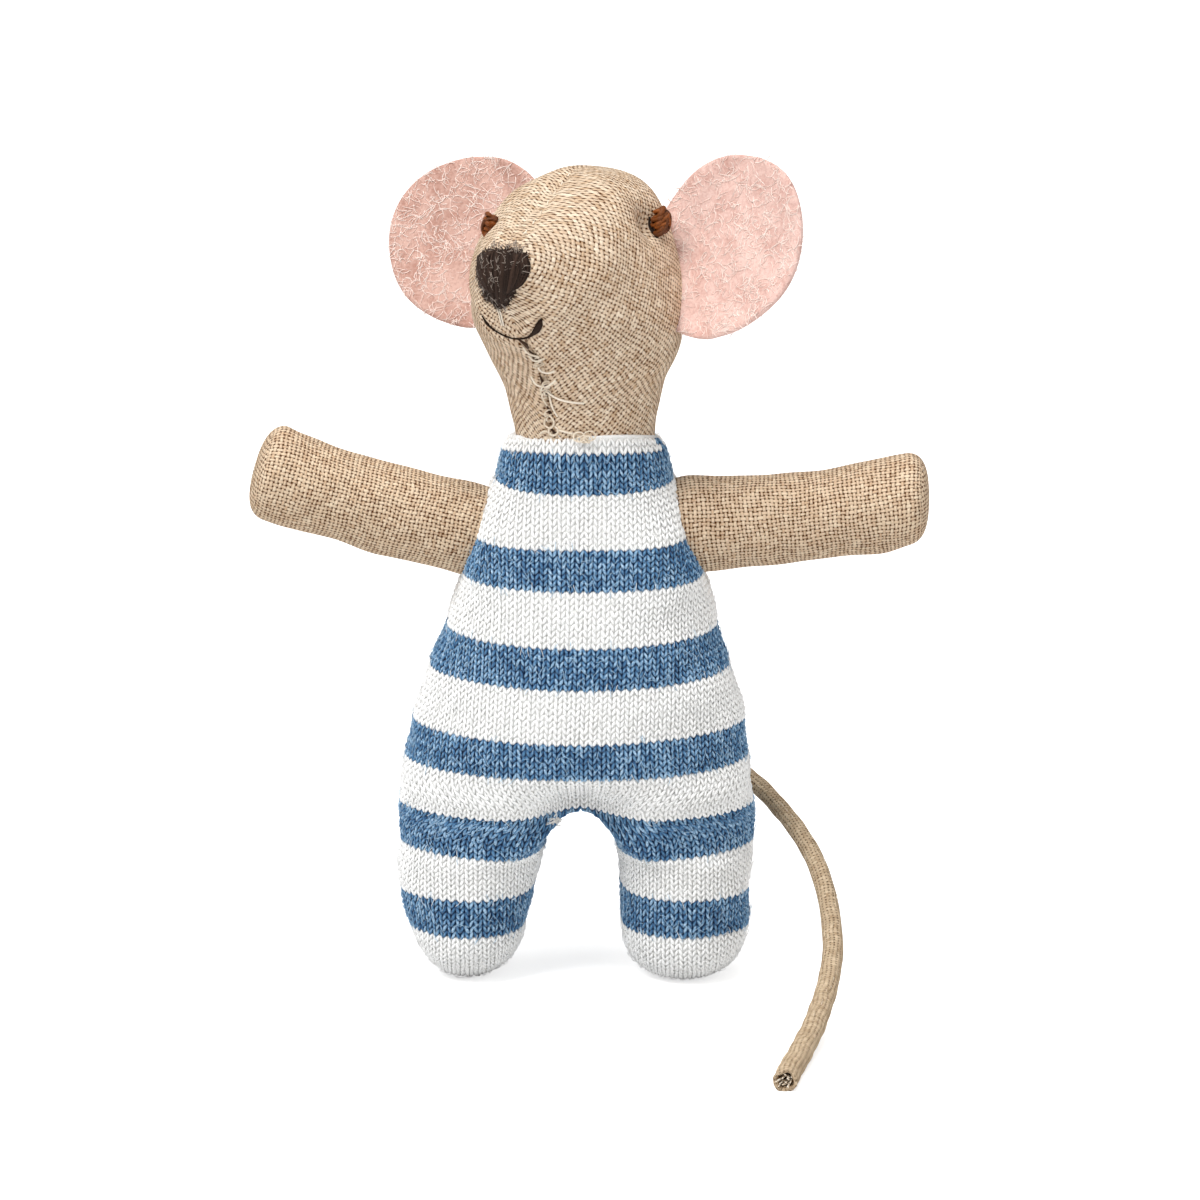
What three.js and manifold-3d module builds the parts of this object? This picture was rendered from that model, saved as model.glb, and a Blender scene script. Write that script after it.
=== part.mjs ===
// A small stuffed mouse: linen head, arms and tail, felt ears and a striped knit suit.
// Millimetres, +Z up, the face towards -Y. Left and right are the viewer's.
// The origin is on the floor, under the middle of the object without its tail.

import * as THREE from 'three';
import { mergeVertices } from 'three/addons/utils/BufferGeometryUtils.js';
import Module from 'manifold-3d';

const wasm = await Module();
wasm.setup();

// Cloth and fits
const wall = 0.6;
const seat = 0.3;
const overrun = 120;

// Where the body's axis stands, from the origin
const bodyX = -0.9;
const bodyY = 1.3;

// Body: a pear, widest at the hips, open for the neck, the arms and the legs
const hipPlane = 20;
const collarTop = 59.4;
const torsoHalfWidth = 19.2;
const torsoHalfDepth = 12.8;
// Height, half width, half depth, and how square the section is
const torsoRingShares = [
  [0, 0.93, 0.74, 2.6],
  [0.025, 0.985, 0.82, 2.5],
  [0.08, 1, 0.91, 2.3],
  [0.18, 0.965, 0.99, 2.1],
  [0.29, 0.9, 1, 2],
  [0.39, 0.835, 0.97, 2],
  [0.5, 0.765, 0.92, 2],
  [0.6, 0.695, 0.865, 2],
  [0.71, 0.63, 0.8, 2],
  [0.82, 0.552, 0.72, 2],
  [0.92, 0.495, 0.665, 2],
  [0.965, 0.462, 0.64, 2],
  [1, 0.43, 0.632, 2],
];

// Neck: a plug that stands in the collar and turns there
const neckShift = 0.4;
const plugRadius = 7.3;
const plugDepth = 3;

// Head: a bulb that bends forwards into a blunt snout
const headTurn = 27;
const headRoll = 3;
const headHeight = 29;
const snoutReach = 19.3;
const headHalfWidth = 11.7;
const rollPivotShare = 0.54;
const rollStartShare = 0.05;
const rollEndShare = 0.47;
// The face's lower point, the crown's point, half width, and how square the section is
const headRingShares = [
  [0.41, 0, -0.41, 0, 0.675, 2],
  [0.435, 0.08, -0.415, 0.09, 0.69, 2],
  [0.48, 0.18, -0.44, 0.205, 0.77, 2],
  [0.545, 0.285, -0.5, 0.37, 0.89, 2],
  [0.63, 0.37, -0.545, 0.545, 0.975, 2],
  [0.725, 0.44, -0.515, 0.73, 1, 2.2],
  [0.81, 0.5, -0.34, 0.9, 0.94, 2.3],
  [0.865, 0.55, 0, 0.995, 0.795, 2.3],
  [0.91, 0.6, 0.35, 0.95, 0.625, 2.2],
  [0.95, 0.65, 0.64, 0.9, 0.47, 2],
  [0.975, 0.69, 0.84, 0.865, 0.315, 2],
  [0.99, 0.735, 0.945, 0.82, 0.155, 2],
];

// Ears: felt discs, let in behind the eyes
const earRadius = 9.6;
const earThickness = 1;
const earBack = 3.4;
const leftEar = { side: -1, reach: 15, height: 19.5 };
const rightEar = { side: 1, reach: 15.6, height: 20.6 };
const earLean = 24.3;
const earToeIn = 7.7;
const earHingeSide = 10.2;
const earSwing = 15;
const earEdge = 0.25;
const earSwingShares = [-1, -0.5, 0, 0.5, 1];

// Eyes: thread knots
const leftEye = { side: -1, forward: 1.2, height: 21.4 };
const rightEye = { side: 1, forward: 0.4, height: 24.1 };
const eyeSink = 0.3;
const eyeHalfThickness = 1.25;
const eyeHalfLength = 1.4;
const eyeHalfHeight = 1.9;

// Nose: a padded patch of stitches over the tip of the snout
const noseHeight = 21.2;
const noseSink = 0.9;
const noseHalfWidth = 3;
const noseHalfDepth = 1.9;
const noseHalfHeight = 3.6;
const nosePitch = 12;

// Face threads
const threadRadius = 0.28;
const mouthHalfWidth = 4.2;
const mouthHeight = 14.2;
const mouthRise = 1.6;
const mouthShares = [-1, -0.5, 0, 0.5, 1];
const mouthAimShare = 0.5;
const chinSeamTop = 13.4;
const chinSeamBottom = 2.2;
const chinShares = [0, 0.25, 0.5, 0.75, 1];
const threadStart = 40;

// Arms: blunt tubes that start in a ball, so that they swing in the armholes
const shoulderSide = 13.2;
const shoulderHeight = 49.3;
const armBallRadius = 5.15;
const armRootRadius = 4.75;
const armEndRadius = 5.1;
const armEndDome = 1.1;
const armBallShares = [-0.98, -0.85, -0.6, -0.3, 0];
const armRootShare = 0.5;
const armTubeShares = [0.4, 0.6, 0.8];
const armDomeShares = [0, 0.35, 0.7, 0.92];
const armOpeningShare = 0.5;
const leftArm = { side: -1, length: 21.8, rise: 15.6, bow: 0.3 };
const rightArm = { side: 1, length: 23.6, rise: 4.6, bow: 0.9 };

// Legs: tubes with round feet, each with a round head in the hips
const legSpread = 11.6;
const stanceShift = -0.4;
const stanceBack = 0.4;
const hipAxisDrop = 1.8;
const hipHeadRadius = 8.6;
const hipHeadHalfWidth = 7.2;
const hipHeadSquareness = 2.6;
const hipOpeningShare = 0.5;
const legHalfWidth = 7.65;
const legHalfDepth = 8.2;
const soleDepth = 0.5;
// Height, half width and half depth; the last ring lies on the hip axis
const legRingShares = [
  [0, 0.22, 0.28],
  [0.012, 0.5, 0.6],
  [0.055, 0.65, 0.72],
  [0.13, 0.77, 0.8],
  [0.25, 0.86, 0.87],
  [0.42, 0.915, 0.92],
  [0.62, 0.955, 0.96],
  [0.82, 0.99, 0.99],
  [1, 0.93, 0.985],
];

// Knots where the sewing threads end
const knotRadius = 0.75;
const knotThread = 0.26;
const knotReachShare = 1.5;
const neckKnotSide = 1.6;
const crotchKnotSide = 2.8;
const crotchKnotForward = 6.4;

// Tail: a rolled linen cord from the seat seam, round the right hip and down to the floor
const tailRadius = 1.05;
const tailRoute = [
  [-0.9, 13.25, 23],
  [-0.9, 15.2, 23],
  [-0.5, 17.2, 22.9],
  [0.55, 18.9, 22.7],
  [2.2, 20, 22.4],
  [4.2, 20.3, 22],
  [7, 19.9, 21.5],
  [9.8, 18.9, 20.9],
  [12.3, 17.4, 20.3],
  [14.5, 15.5, 19.6],
  [16.5, 13.2, 18.8],
  [18.5, 10.4, 17.8],
  [20.4, 7.4, 16.5],
  [22.3, 3.9, 14.9],
  [23.9, 0.4, 13],
  [25, -3.4, 10.8],
  [25.6, -7.2, 8.6],
  [25.8, -11, 6.8],
  [25.6, -14.8, 5.2],
  [25.1, -18.8, 4.1],
  [24.4, -23, 3],
  [23.6, -27.4, 2.2],
  [22.7, -31.8, 1.6],
  [21.8, -36.2, 1.2],
  [21, -40.6, 1.1],
  [20.4, -44.8, 1.1],
];

// Steps round and along the forms
const torsoSides = 28;
const torsoRings = 14;
const headSides = 24;
const headRings = 16;
const earSides = 36;
const limbSides = 18;
const innerSideShare = 0.65;
const ballRows = 10;
const padSides = 12;
const tailSides = 8;
const tailSteps = 36;
const threadSides = 5;
const knotSteps = 24;
const knotWinds = [2, 3];
const threadSteps = 15;

const radians = THREE.MathUtils.degToRad;
const quarterTurn = 90;

const linen = { color: 0xcbb08f, roughness: 0.9, metalness: 0 };
const knit = { color: 0xa9bccd, roughness: 0.95, metalness: 0 };
const felt = { color: 0xecc4bb, roughness: 0.98, metalness: 0 };
const brownThread = { color: 0x6a3818, roughness: 0.7, metalness: 0 };
const darkThread = { color: 0x2e2926, roughness: 0.85, metalness: 0 };
const paleThread = { color: 0xe6ded2, roughness: 0.85, metalness: 0 };
const fibre = { color: 0xf2f0ea, roughness: 1, metalness: 0 };

// Joins equal points, so that the mesh is one closed body
function joined(geometry) {
  const bare = geometry.clone();
  for (const name of Object.keys(bare.attributes)) {
    if (name !== 'position') bare.deleteAttribute(name);
  }
  return mergeVertices(bare);
}

function solid(geometry) {
  const mesh = joined(geometry);
  return new wasm.Manifold(new wasm.Mesh({
    numProp: 3,
    vertProperties: new Float32Array(mesh.attributes.position.array),
    triVerts: new Uint32Array(mesh.index.array),
  }));
}

function piece(name, body, finish) {
  const mesh = body.getMesh();
  const geometry = new THREE.BufferGeometry();
  geometry.setAttribute('position', new THREE.BufferAttribute(new Float32Array(mesh.vertProperties), 3));
  geometry.setIndex(new THREE.BufferAttribute(new Uint32Array(mesh.triVerts), 1));
  geometry.computeVertexNormals();
  const result = new THREE.Mesh(geometry, new THREE.MeshStandardMaterial(finish));
  result.name = name;
  return result;
}

// Smooth rows between the rows of a table
function smoothed(table, count) {
  const rows = [];
  for (let row = 0; row < count; row += 1) {
    const place = (row / (count - 1)) * (table.length - 1);
    const at = Math.min(Math.floor(place), table.length - 2);
    const near = [at - 1, at, at + 1, at + 2].map((k) => table[THREE.MathUtils.clamp(k, 0, table.length - 1)]);
    const [before, from, to, after] = near;
    const t = place - at;
    rows.push(from.map((value, k) => {
      const [start, end] = [(to[k] - before[k]) / 2, (after[k] - value) / 2];
      const [square, cube] = [t ** 2, t ** 3];
      return value * (2 * cube - 3 * square + 1) + start * (cube - 2 * square + t)
        + to[k] * (3 * square - 2 * cube) + end * (cube - square);
    }));
  }
  return rows;
}

// A closed form through rings; each ring has a centre, two half axes and a squareness
function loft(rings, sides) {
  const places = [];
  for (const { centre, across, along, power } of rings) {
    for (let side = 0; side < sides; side += 1) {
      const turn = (side / sides) * Math.PI * 2;
      const reach = (value) => Math.sign(value) * Math.abs(value) ** (2 / power);
      const place = centre.clone()
        .addScaledVector(across, reach(Math.cos(turn)))
        .addScaledVector(along, reach(Math.sin(turn)));
      places.push(place);
    }
  }
  const faces = [];
  for (let ring = 0; ring + 1 < rings.length; ring += 1) {
    for (let side = 0; side < sides; side += 1) {
      const next = (side + 1) % sides;
      const [a, b] = [ring * sides + side, ring * sides + next];
      faces.push(a, b, a + sides, b, b + sides, a + sides);
    }
  }
  const [first, last] = [places.length, places.length + 1];
  places.push(rings[0].centre, rings[rings.length - 1].centre);
  const top = (rings.length - 1) * sides;
  for (let side = 0; side < sides; side += 1) {
    const next = (side + 1) % sides;
    faces.push(first, next, side, last, top + side, top + next);
  }
  const geometry = new THREE.BufferGeometry().setFromPoints(places);
  geometry.setIndex(faces);
  return outward(geometry);
}

// Turns a closed mesh the right way out
function outward(geometry) {
  const index = geometry.index.array;
  const point = (k) => new THREE.Vector3().fromBufferAttribute(geometry.attributes.position, k);
  let volume = 0;
  for (let k = 0; k < index.length; k += 3) {
    volume += point(index[k]).dot(point(index[k + 1]).cross(point(index[k + 2])));
  }
  if (volume < 0) {
    for (let k = 0; k < index.length; k += 3) [index[k], index[k + 1]] = [index[k + 1], index[k]];
  }
  geometry.computeVertexNormals();
  return geometry;
}

// Moves every point inwards by a distance, or outwards by a negative one
function inset(geometry, distance) {
  const result = geometry.clone();
  const { position, normal } = result.attributes;
  for (let k = 0; k < position.count; k += 1) {
    const place = new THREE.Vector3().fromBufferAttribute(position, k);
    place.addScaledVector(new THREE.Vector3().fromBufferAttribute(normal, k), -distance);
    position.setXYZ(k, place.x, place.y, place.z);
  }
  return result;
}

const innerSides = (sides) => Math.round(sides * innerSideShare);

// A cylinder or cone along Z, from one height to another
function post(radius, bottom, top, sides = limbSides) {
  const geometry = new THREE.CylinderGeometry(radius, radius, top - bottom, sides);
  geometry.rotateX(Math.PI / 2);
  geometry.translate(0, 0, (top + bottom) / 2);
  return solid(geometry);
}

// Everything on one side of a plane through the origin of a piece
function halfSpace(direction, offset) {
  const side = overrun * 2;
  const geometry = new THREE.BoxGeometry(side, side, side);
  const middle = direction.clone().multiplyScalar(offset + overrun);
  geometry.translate(middle.x, middle.y, middle.z);
  return solid(geometry);
}

// Cuts a shell into its two panels, which meet with a seam's gap
function panels(shell, direction) {
  return [
    shell.intersect(halfSpace(direction, seat / 2)),
    shell.intersect(halfSpace(direction.clone().negate(), seat / 2)),
  ];
}

// Where a leg stands under the body
const stance = (side) => new THREE.Vector3(side * legSpread + stanceShift, stanceBack, 0);

// The round head of a leg, or with a clearance its socket, about the hip axis
function hipHead(clearance, sides = limbSides) {
  const profile = [];
  for (let row = 0; row <= ballRows; row += 1) {
    const along = -Math.cos((row / ballRows) * Math.PI);
    const radius = (1 - Math.abs(along) ** hipHeadSquareness) ** (1 / hipHeadSquareness);
    profile.push(new THREE.Vector2(
      Math.max(radius, 0) * (hipHeadRadius + clearance),
      along * (hipHeadHalfWidth + clearance),
    ));
  }
  const geometry = new THREE.LatheGeometry(profile, sides);
  geometry.rotateZ(-Math.PI / 2);
  geometry.translate(0, 0, hipPlane - hipAxisDrop);
  return solid(outward(joined(geometry)));
}

function armSocket(side) {
  const geometry = new THREE.SphereGeometry(armBallRadius + seat, limbSides, ballRows);
  geometry.translate(side * shoulderSide, 0, shoulderHeight);
  return solid(geometry);
}

// The body's outer form
function torsoForm(sides) {
  const rings = smoothed(torsoRingShares, torsoRings).map(([height, width, depth, power]) => ({
    centre: new THREE.Vector3(0, 0, hipPlane + height * (collarTop - hipPlane)),
    across: new THREE.Vector3(width * torsoHalfWidth, 0, 0),
    along: new THREE.Vector3(0, depth * torsoHalfDepth, 0),
    power,
  }));
  return loft(rings, sides);
}

function buildTorso() {
  const group = new THREE.Group();
  const plugBottom = collarTop - plugDepth;
  let cover = solid(torsoForm(torsoSides))
    .subtract(solid(inset(torsoForm(innerSides(torsoSides)), wall)))
    .subtract(post(plugRadius + seat, plugBottom - seat, collarTop + overrun, headSides)
      .translate([neckShift, 0, 0]));
  let filling = solid(inset(torsoForm(innerSides(torsoSides)), wall + seat))
    .subtract(halfSpace(new THREE.Vector3(0, 0, 1), plugBottom - seat));
  for (const side of [-1, 1]) {
    for (const socket of [hipHead(seat).translate(stance(side).toArray()), armSocket(side)]) {
      cover = cover.subtract(socket);
      filling = filling.subtract(socket);
    }
  }
  const [back, front] = panels(cover, new THREE.Vector3(0, 1, 0));
  group.add(piece('suit_body_front', front, knit));
  group.add(piece('suit_body_back', back, knit));
  group.add(piece('body_filling', filling, fibre));
  return group;
}

// The head's rings lean over with the roll of the head above the neck
function leanOver(geometry) {
  const { position } = geometry.attributes;
  const pivot = rollPivotShare * headHeight;
  for (let k = 0; k < position.count; k += 1) {
    const height = position.getZ(k);
    const roll = radians(headRoll) * THREE.MathUtils.smoothstep(
      height, rollStartShare * headHeight, rollEndShare * headHeight);
    const [x, z] = [position.getX(k), height - pivot];
    position.setX(k, x * Math.cos(roll) - z * Math.sin(roll));
    position.setZ(k, pivot + x * Math.sin(roll) + z * Math.cos(roll));
  }
  geometry.computeVertexNormals();
  return geometry;
}

function headForm(sides) {
  const rings = smoothed(headRingShares, headRings).map(([lowOut, lowUp, topOut, topUp, width, power]) => {
    const low = new THREE.Vector3(0, -lowOut * snoutReach, lowUp * headHeight);
    const crown = new THREE.Vector3(0, -topOut * snoutReach, topUp * headHeight);
    return {
      centre: low.clone().add(crown).multiplyScalar(1 / 2),
      across: new THREE.Vector3(width * headHalfWidth, 0, 0),
      along: crown.clone().sub(low).multiplyScalar(1 / 2),
      power,
    };
  });
  return leanOver(loft(rings, sides));
}

// Where a line from outside towards a point in the head meets its skin, or a little deeper
function onSkin(headSkin, from, aim, sink) {
  const skin = new THREE.Mesh(headSkin, new THREE.MeshBasicMaterial({ side: THREE.DoubleSide }));
  skin.updateMatrixWorld();
  const direction = aim.clone().sub(from).normalize();
  const [hit] = new THREE.Raycaster(from, direction).intersectObject(skin);
  return hit.point.clone().addScaledVector(direction, sink);
}

// The ear's disc stands in a plane that leans back and toes in a little
function earFrame({ side, reach, height }) {
  const normal = new THREE.Vector3(0, -1, 0)
    .applyAxisAngle(new THREE.Vector3(1, 0, 0), -radians(earLean))
    .applyAxisAngle(new THREE.Vector3(0, 0, 1), -side * radians(earToeIn))
    .applyAxisAngle(new THREE.Vector3(0, 1, 0), -radians(headRoll));
  const pivot = new THREE.Vector3(0, 0, rollPivotShare * headHeight);
  const rolled = (x, y, z) => new THREE.Vector3(x, y, z).sub(pivot)
    .applyAxisAngle(new THREE.Vector3(0, 1, 0), -radians(headRoll)).add(pivot);
  const middle = rolled(side * reach, earBack, height);
  const outwards = new THREE.Vector3(side, 0, 0);
  outwards.addScaledVector(normal, -outwards.dot(normal)).normalize();
  const axis = normal.clone().cross(outwards).normalize();
  const root = middle.clone().addScaledVector(outwards, earHingeSide - reach);
  return { normal, middle, axis, root };
}

function buildEar(ear, name, headSkin) {
  const { normal, middle, axis, root } = earFrame(ear);
  const [rim, half] = [earRadius, earThickness / 2];
  const profile = [
    [0, -half], [rim - earEdge, -half], [rim, earEdge - half],
    [rim, half - earEdge], [rim - earEdge, half], [0, half],
  ].map(([x, y]) => new THREE.Vector2(x, y));
  const geometry = new THREE.LatheGeometry(profile, earSides);
  geometry.applyQuaternion(new THREE.Quaternion().setFromUnitVectors(new THREE.Vector3(0, 1, 0), normal));
  geometry.translate(middle.x, middle.y, middle.z);
  let body = solid(outward(joined(geometry)));
  for (const share of earSwingShares) {
    const skin = headSkin.clone();
    skin.translate(-root.x, -root.y, -root.z);
    skin.applyQuaternion(new THREE.Quaternion().setFromAxisAngle(axis, radians(share * earSwing)));
    skin.translate(root.x, root.y, root.z);
    body = body.subtract(solid(skin));
  }
  return piece(name, body, felt);
}

function ellipsoid(across, deep, high) {
  const geometry = new THREE.SphereGeometry(1, padSides, ballRows);
  geometry.scale(across, deep, high);
  return geometry;
}

// A thread that lies on the head's skin where lines from outside meet it
function skinThread(name, headSkin, places, finish) {
  const points = places.map(({ from, aim }) => onSkin(headSkin, from, aim, -threadRadius));
  const curve = new THREE.CatmullRomCurve3(points);
  return piece(name, threadAlong(curve, threadRadius, threadSteps), finish);
}

function threadAlong(curve, radius, steps, sides = threadSides) {
  const section = new THREE.Shape();
  for (let side = 0; side < sides; side += 1) {
    const turn = (side / sides) * Math.PI * 2;
    const [x, y] = [radius * Math.cos(turn), radius * Math.sin(turn)];
    if (side === 0) section.moveTo(x, y);
    else section.lineTo(x, y);
  }
  section.closePath();
  const geometry = new THREE.ExtrudeGeometry(section, { steps, bevelEnabled: false, extrudePath: curve });
  return solid(outward(joined(geometry)));
}

function buildHead() {
  const group = new THREE.Group();
  group.position.set(neckShift, 0, collarTop + seat);
  group.rotation.z = -radians(headTurn);

  const plugBottom = -plugDepth;
  const skin = inset(headForm(headSides), -seat);
  const cover = solid(headForm(headSides))
    .add(post(plugRadius, plugBottom, plugDepth, headSides))
    .subtract(solid(inset(headForm(innerSides(headSides)), wall)))
    .subtract(post(plugRadius - wall, plugBottom - overrun, plugDepth, headSides));
  const filling = solid(inset(headForm(innerSides(headSides)), wall + seat))
    .add(post(plugRadius - wall - seat, plugBottom, plugDepth, headSides));
  const [right, left] = panels(cover, new THREE.Vector3(1, 0, 0));
  group.add(piece('head_cover_left', left, linen));
  group.add(piece('head_cover_right', right, linen));
  group.add(piece('head_filling', filling, fibre));

  group.add(buildEar(leftEar, 'ear_left', skin));
  group.add(buildEar(rightEar, 'ear_right', skin));

  for (const [eye, name] of [[leftEye, 'eye_left'], [rightEye, 'eye_right']]) {
    const from = new THREE.Vector3(eye.side * threadStart, -eye.forward, eye.height);
    const place = onSkin(skin, from, new THREE.Vector3(0, -eye.forward, eye.height), eyeSink);
    const knot = ellipsoid(eyeHalfThickness, eyeHalfLength, eyeHalfHeight);
    knot.translate(place.x, place.y, place.z);
    group.add(piece(name, solid(knot).subtract(solid(skin)), brownThread));
  }

  const pad = ellipsoid(noseHalfWidth, noseHalfDepth, noseHalfHeight);
  pad.rotateX(radians(nosePitch));
  const tip = onSkin(skin, new THREE.Vector3(0, -threadStart, noseHeight),
    new THREE.Vector3(0, 0, noseHeight), noseSink);
  pad.translate(tip.x, tip.y, tip.z);
  group.add(piece('nose', solid(pad).subtract(solid(skin)), darkThread));

  const mouth = mouthShares.map((share) => {
    const up = mouthHeight + mouthRise * share ** 2;
    const aim = new THREE.Vector3(share * mouthAimShare * mouthHalfWidth, 0, up);
    return { from: new THREE.Vector3(share * mouthHalfWidth, -threadStart, up), aim };
  });
  group.add(skinThread('mouth_thread', skin, mouth, darkThread));
  const chin = chinShares.map((share) => {
    const up = THREE.MathUtils.lerp(chinSeamTop, chinSeamBottom, share);
    return { from: new THREE.Vector3(0, -threadStart, up - mouthRise), aim: new THREE.Vector3(0, 0, up) };
  });
  group.add(skinThread('chin_seam_thread', skin, chin, paleThread));
  return group;
}

// An arm along its own X axis, from the ball at the shoulder to the blunt end
function armForm({ length, bow }, sides) {
  const ball = (share) => armBallRadius * Math.sqrt(Math.max(1 - share ** 2, 0));
  const rings = armBallShares.map((share) => [share * armBallRadius, ball(share)]);
  rings.push([armRootShare * armBallRadius, armRootRadius]);
  for (const share of armTubeShares) {
    rings.push([share * length, THREE.MathUtils.lerp(armRootRadius, armEndRadius, share)]);
  }
  for (const share of armDomeShares) {
    const turn = (share * Math.PI) / 2;
    const drop = armEndDome * (1 - Math.sin(turn));
    rings.push([length - drop, armEndRadius - armEndDome * (1 - Math.cos(turn))]);
  }
  return loft(rings.map(([x, radius]) => ({
    centre: new THREE.Vector3(x, 0, bow * Math.max(x / length, 0) ** 2),
    across: new THREE.Vector3(0, radius, 0),
    along: new THREE.Vector3(0, 0, radius),
    power: 2,
  })), sides);
}

function buildArm(arm, name) {
  const group = new THREE.Group();
  group.position.set(arm.side * shoulderSide, 0, shoulderHeight);
  group.rotation.y = -arm.side * radians(arm.rise);
  const turned = (geometry) => (arm.side > 0 ? geometry : outward(geometry.rotateZ(Math.PI)));
  const form = (sides) => turned(armForm(arm, sides));
  const opening = post(armOpeningShare * armRootRadius, -overrun, overrun)
    .rotate([0, quarterTurn, 0])
    .intersect(halfSpace(new THREE.Vector3(-arm.side, 0, 0), 0));
  const cover = solid(form(limbSides))
    .subtract(solid(inset(form(innerSides(limbSides)), wall)))
    .subtract(opening);
  group.add(piece(`arm_cover_${name}`, cover, linen));
  group.add(piece(`arm_filling_${name}`, solid(inset(form(innerSides(limbSides)), wall + seat)), fibre));
  return group;
}

// A leg about its hip axis; the sole is cut flat where it stands
function legForm(sides) {
  const height = hipPlane - hipAxisDrop + soleDepth;
  return loft(legRingShares.map(([up, width, depth]) => ({
    centre: new THREE.Vector3(0, 0, up * height - soleDepth),
    across: new THREE.Vector3(width * legHalfWidth, 0, 0),
    along: new THREE.Vector3(0, depth * legHalfDepth, 0),
    power: 2,
  })), sides);
}

function buildLeg(side, name) {
  const group = new THREE.Group();
  group.position.copy(stance(side));
  const form = (sides, depth) => solid(inset(legForm(sides), depth))
    .subtract(halfSpace(new THREE.Vector3(0, 0, -1), -depth));
  const few = innerSides(limbSides);
  const openTop = post(hipOpeningShare * hipHeadHalfWidth, hipPlane, hipPlane + overrun);
  const cover = form(limbSides, 0).add(hipHead(0))
    .subtract(form(few, wall).add(hipHead(-wall, few)))
    .subtract(openTop);
  const filling = form(few, wall + seat).add(hipHead(-wall - seat, few));
  const [back, front] = panels(cover, new THREE.Vector3(0, 1, 0));
  group.add(piece(`leg_front_${name}`, front, knit));
  group.add(piece(`leg_back_${name}`, back, knit));
  group.add(piece(`leg_filling_${name}`, filling, fibre));
  return group;
}

// A knot of thread, which lies flat about its own Z axis
function knotForm() {
  return new THREE.TorusKnotGeometry(knotRadius, knotThread, knotSteps, threadSides, ...knotWinds);
}

function buildKnots() {
  const group = new THREE.Group();
  const halfHeight = knotRadius / 2 + knotThread;
  const collarDepth = torsoRingShares[torsoRingShares.length - 1][2] * torsoHalfDepth;
  const neck = knotForm().rotateX(Math.PI / 2)
    .translate(neckKnotSide, -collarDepth - halfHeight - seat, collarTop + knotReachShare * knotRadius);
  const crotch = knotForm()
    .translate(-crotchKnotSide, -crotchKnotForward, hipPlane - halfHeight - seat);
  group.add(piece('neck_knot', solid(outward(joined(neck))), paleThread));
  group.add(piece('crotch_knot', solid(outward(joined(crotch))), paleThread));
  return group;
}

function buildTail() {
  const points = tailRoute.map(([x, y, z]) => new THREE.Vector3(x, y, z));
  const curve = new THREE.CatmullRomCurve3(points);
  return piece('tail', threadAlong(curve, tailRadius, tailSteps, tailSides), linen);
}

const body = new THREE.Group();
body.position.set(bodyX, bodyY, 0);
body.add(buildTorso());
body.add(buildHead());
body.add(buildArm(leftArm, 'left'));
body.add(buildArm(rightArm, 'right'));
body.add(buildLeg(-1, 'left'));
body.add(buildLeg(1, 'right'));
body.add(buildKnots());

const mouse = new THREE.Group();
mouse.add(body);
mouse.add(buildTail());

export default mouse;
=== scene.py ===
import math
from collections import namedtuple
import bpy
import numpy as np
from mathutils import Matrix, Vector
from mathutils.bvhtree import BVHTree


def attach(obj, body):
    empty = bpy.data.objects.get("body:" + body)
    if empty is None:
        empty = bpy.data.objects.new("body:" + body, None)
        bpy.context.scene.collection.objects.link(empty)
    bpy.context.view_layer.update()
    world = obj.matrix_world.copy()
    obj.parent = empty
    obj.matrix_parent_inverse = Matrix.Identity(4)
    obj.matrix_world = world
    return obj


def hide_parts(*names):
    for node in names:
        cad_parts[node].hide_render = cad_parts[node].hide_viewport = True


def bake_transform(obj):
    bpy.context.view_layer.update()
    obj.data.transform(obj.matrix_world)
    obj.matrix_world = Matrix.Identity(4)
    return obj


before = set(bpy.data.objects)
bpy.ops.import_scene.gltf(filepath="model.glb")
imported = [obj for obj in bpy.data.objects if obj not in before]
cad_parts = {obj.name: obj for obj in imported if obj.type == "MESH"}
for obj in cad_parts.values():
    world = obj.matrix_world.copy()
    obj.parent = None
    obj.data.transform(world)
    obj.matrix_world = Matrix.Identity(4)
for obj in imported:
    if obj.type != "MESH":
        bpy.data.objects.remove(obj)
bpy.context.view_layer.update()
chance = np.random.default_rng(11)

# Sizes are in millimetres where nothing else is said, and the meshes are in metres
MM = 0.001
FULL_TURN = 2 * math.pi
BODY_SIDE = -0.9
BODY_BACK = 1.3
COLLAR_TOP = 59.4

# The photograph: how far its camera looks down, the size of a pixel, the column where x is nought,
# and the row of the floor under the body
CAMERA_TILT = math.radians(15.0)
PIXEL = 0.1064
MIDDLE_COLUMN = 590
FLOOR_ROW = 974.6


# Small helpers


def curve_through(places, values, wanted):
    """A smooth curve through a table's points."""
    places = np.asarray(places, float)
    values = np.asarray(values, float)
    wanted = np.asarray(wanted, float)
    slopes = np.gradient(values, places)
    at = np.clip(np.searchsorted(places, wanted) - 1, 0, len(places) - 2)
    gap = places[at + 1] - places[at]
    t = np.clip((wanted - places[at]) / gap, 0.0, 1.0)
    start = (2 * t ** 3 - 3 * t ** 2 + 1) * values[at]
    start = start + (t ** 3 - 2 * t ** 2 + t) * gap * slopes[at]
    end = (3 * t ** 2 - 2 * t ** 3) * values[at + 1]
    return start + end + (t ** 3 - t ** 2) * gap * slopes[at + 1]


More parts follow.
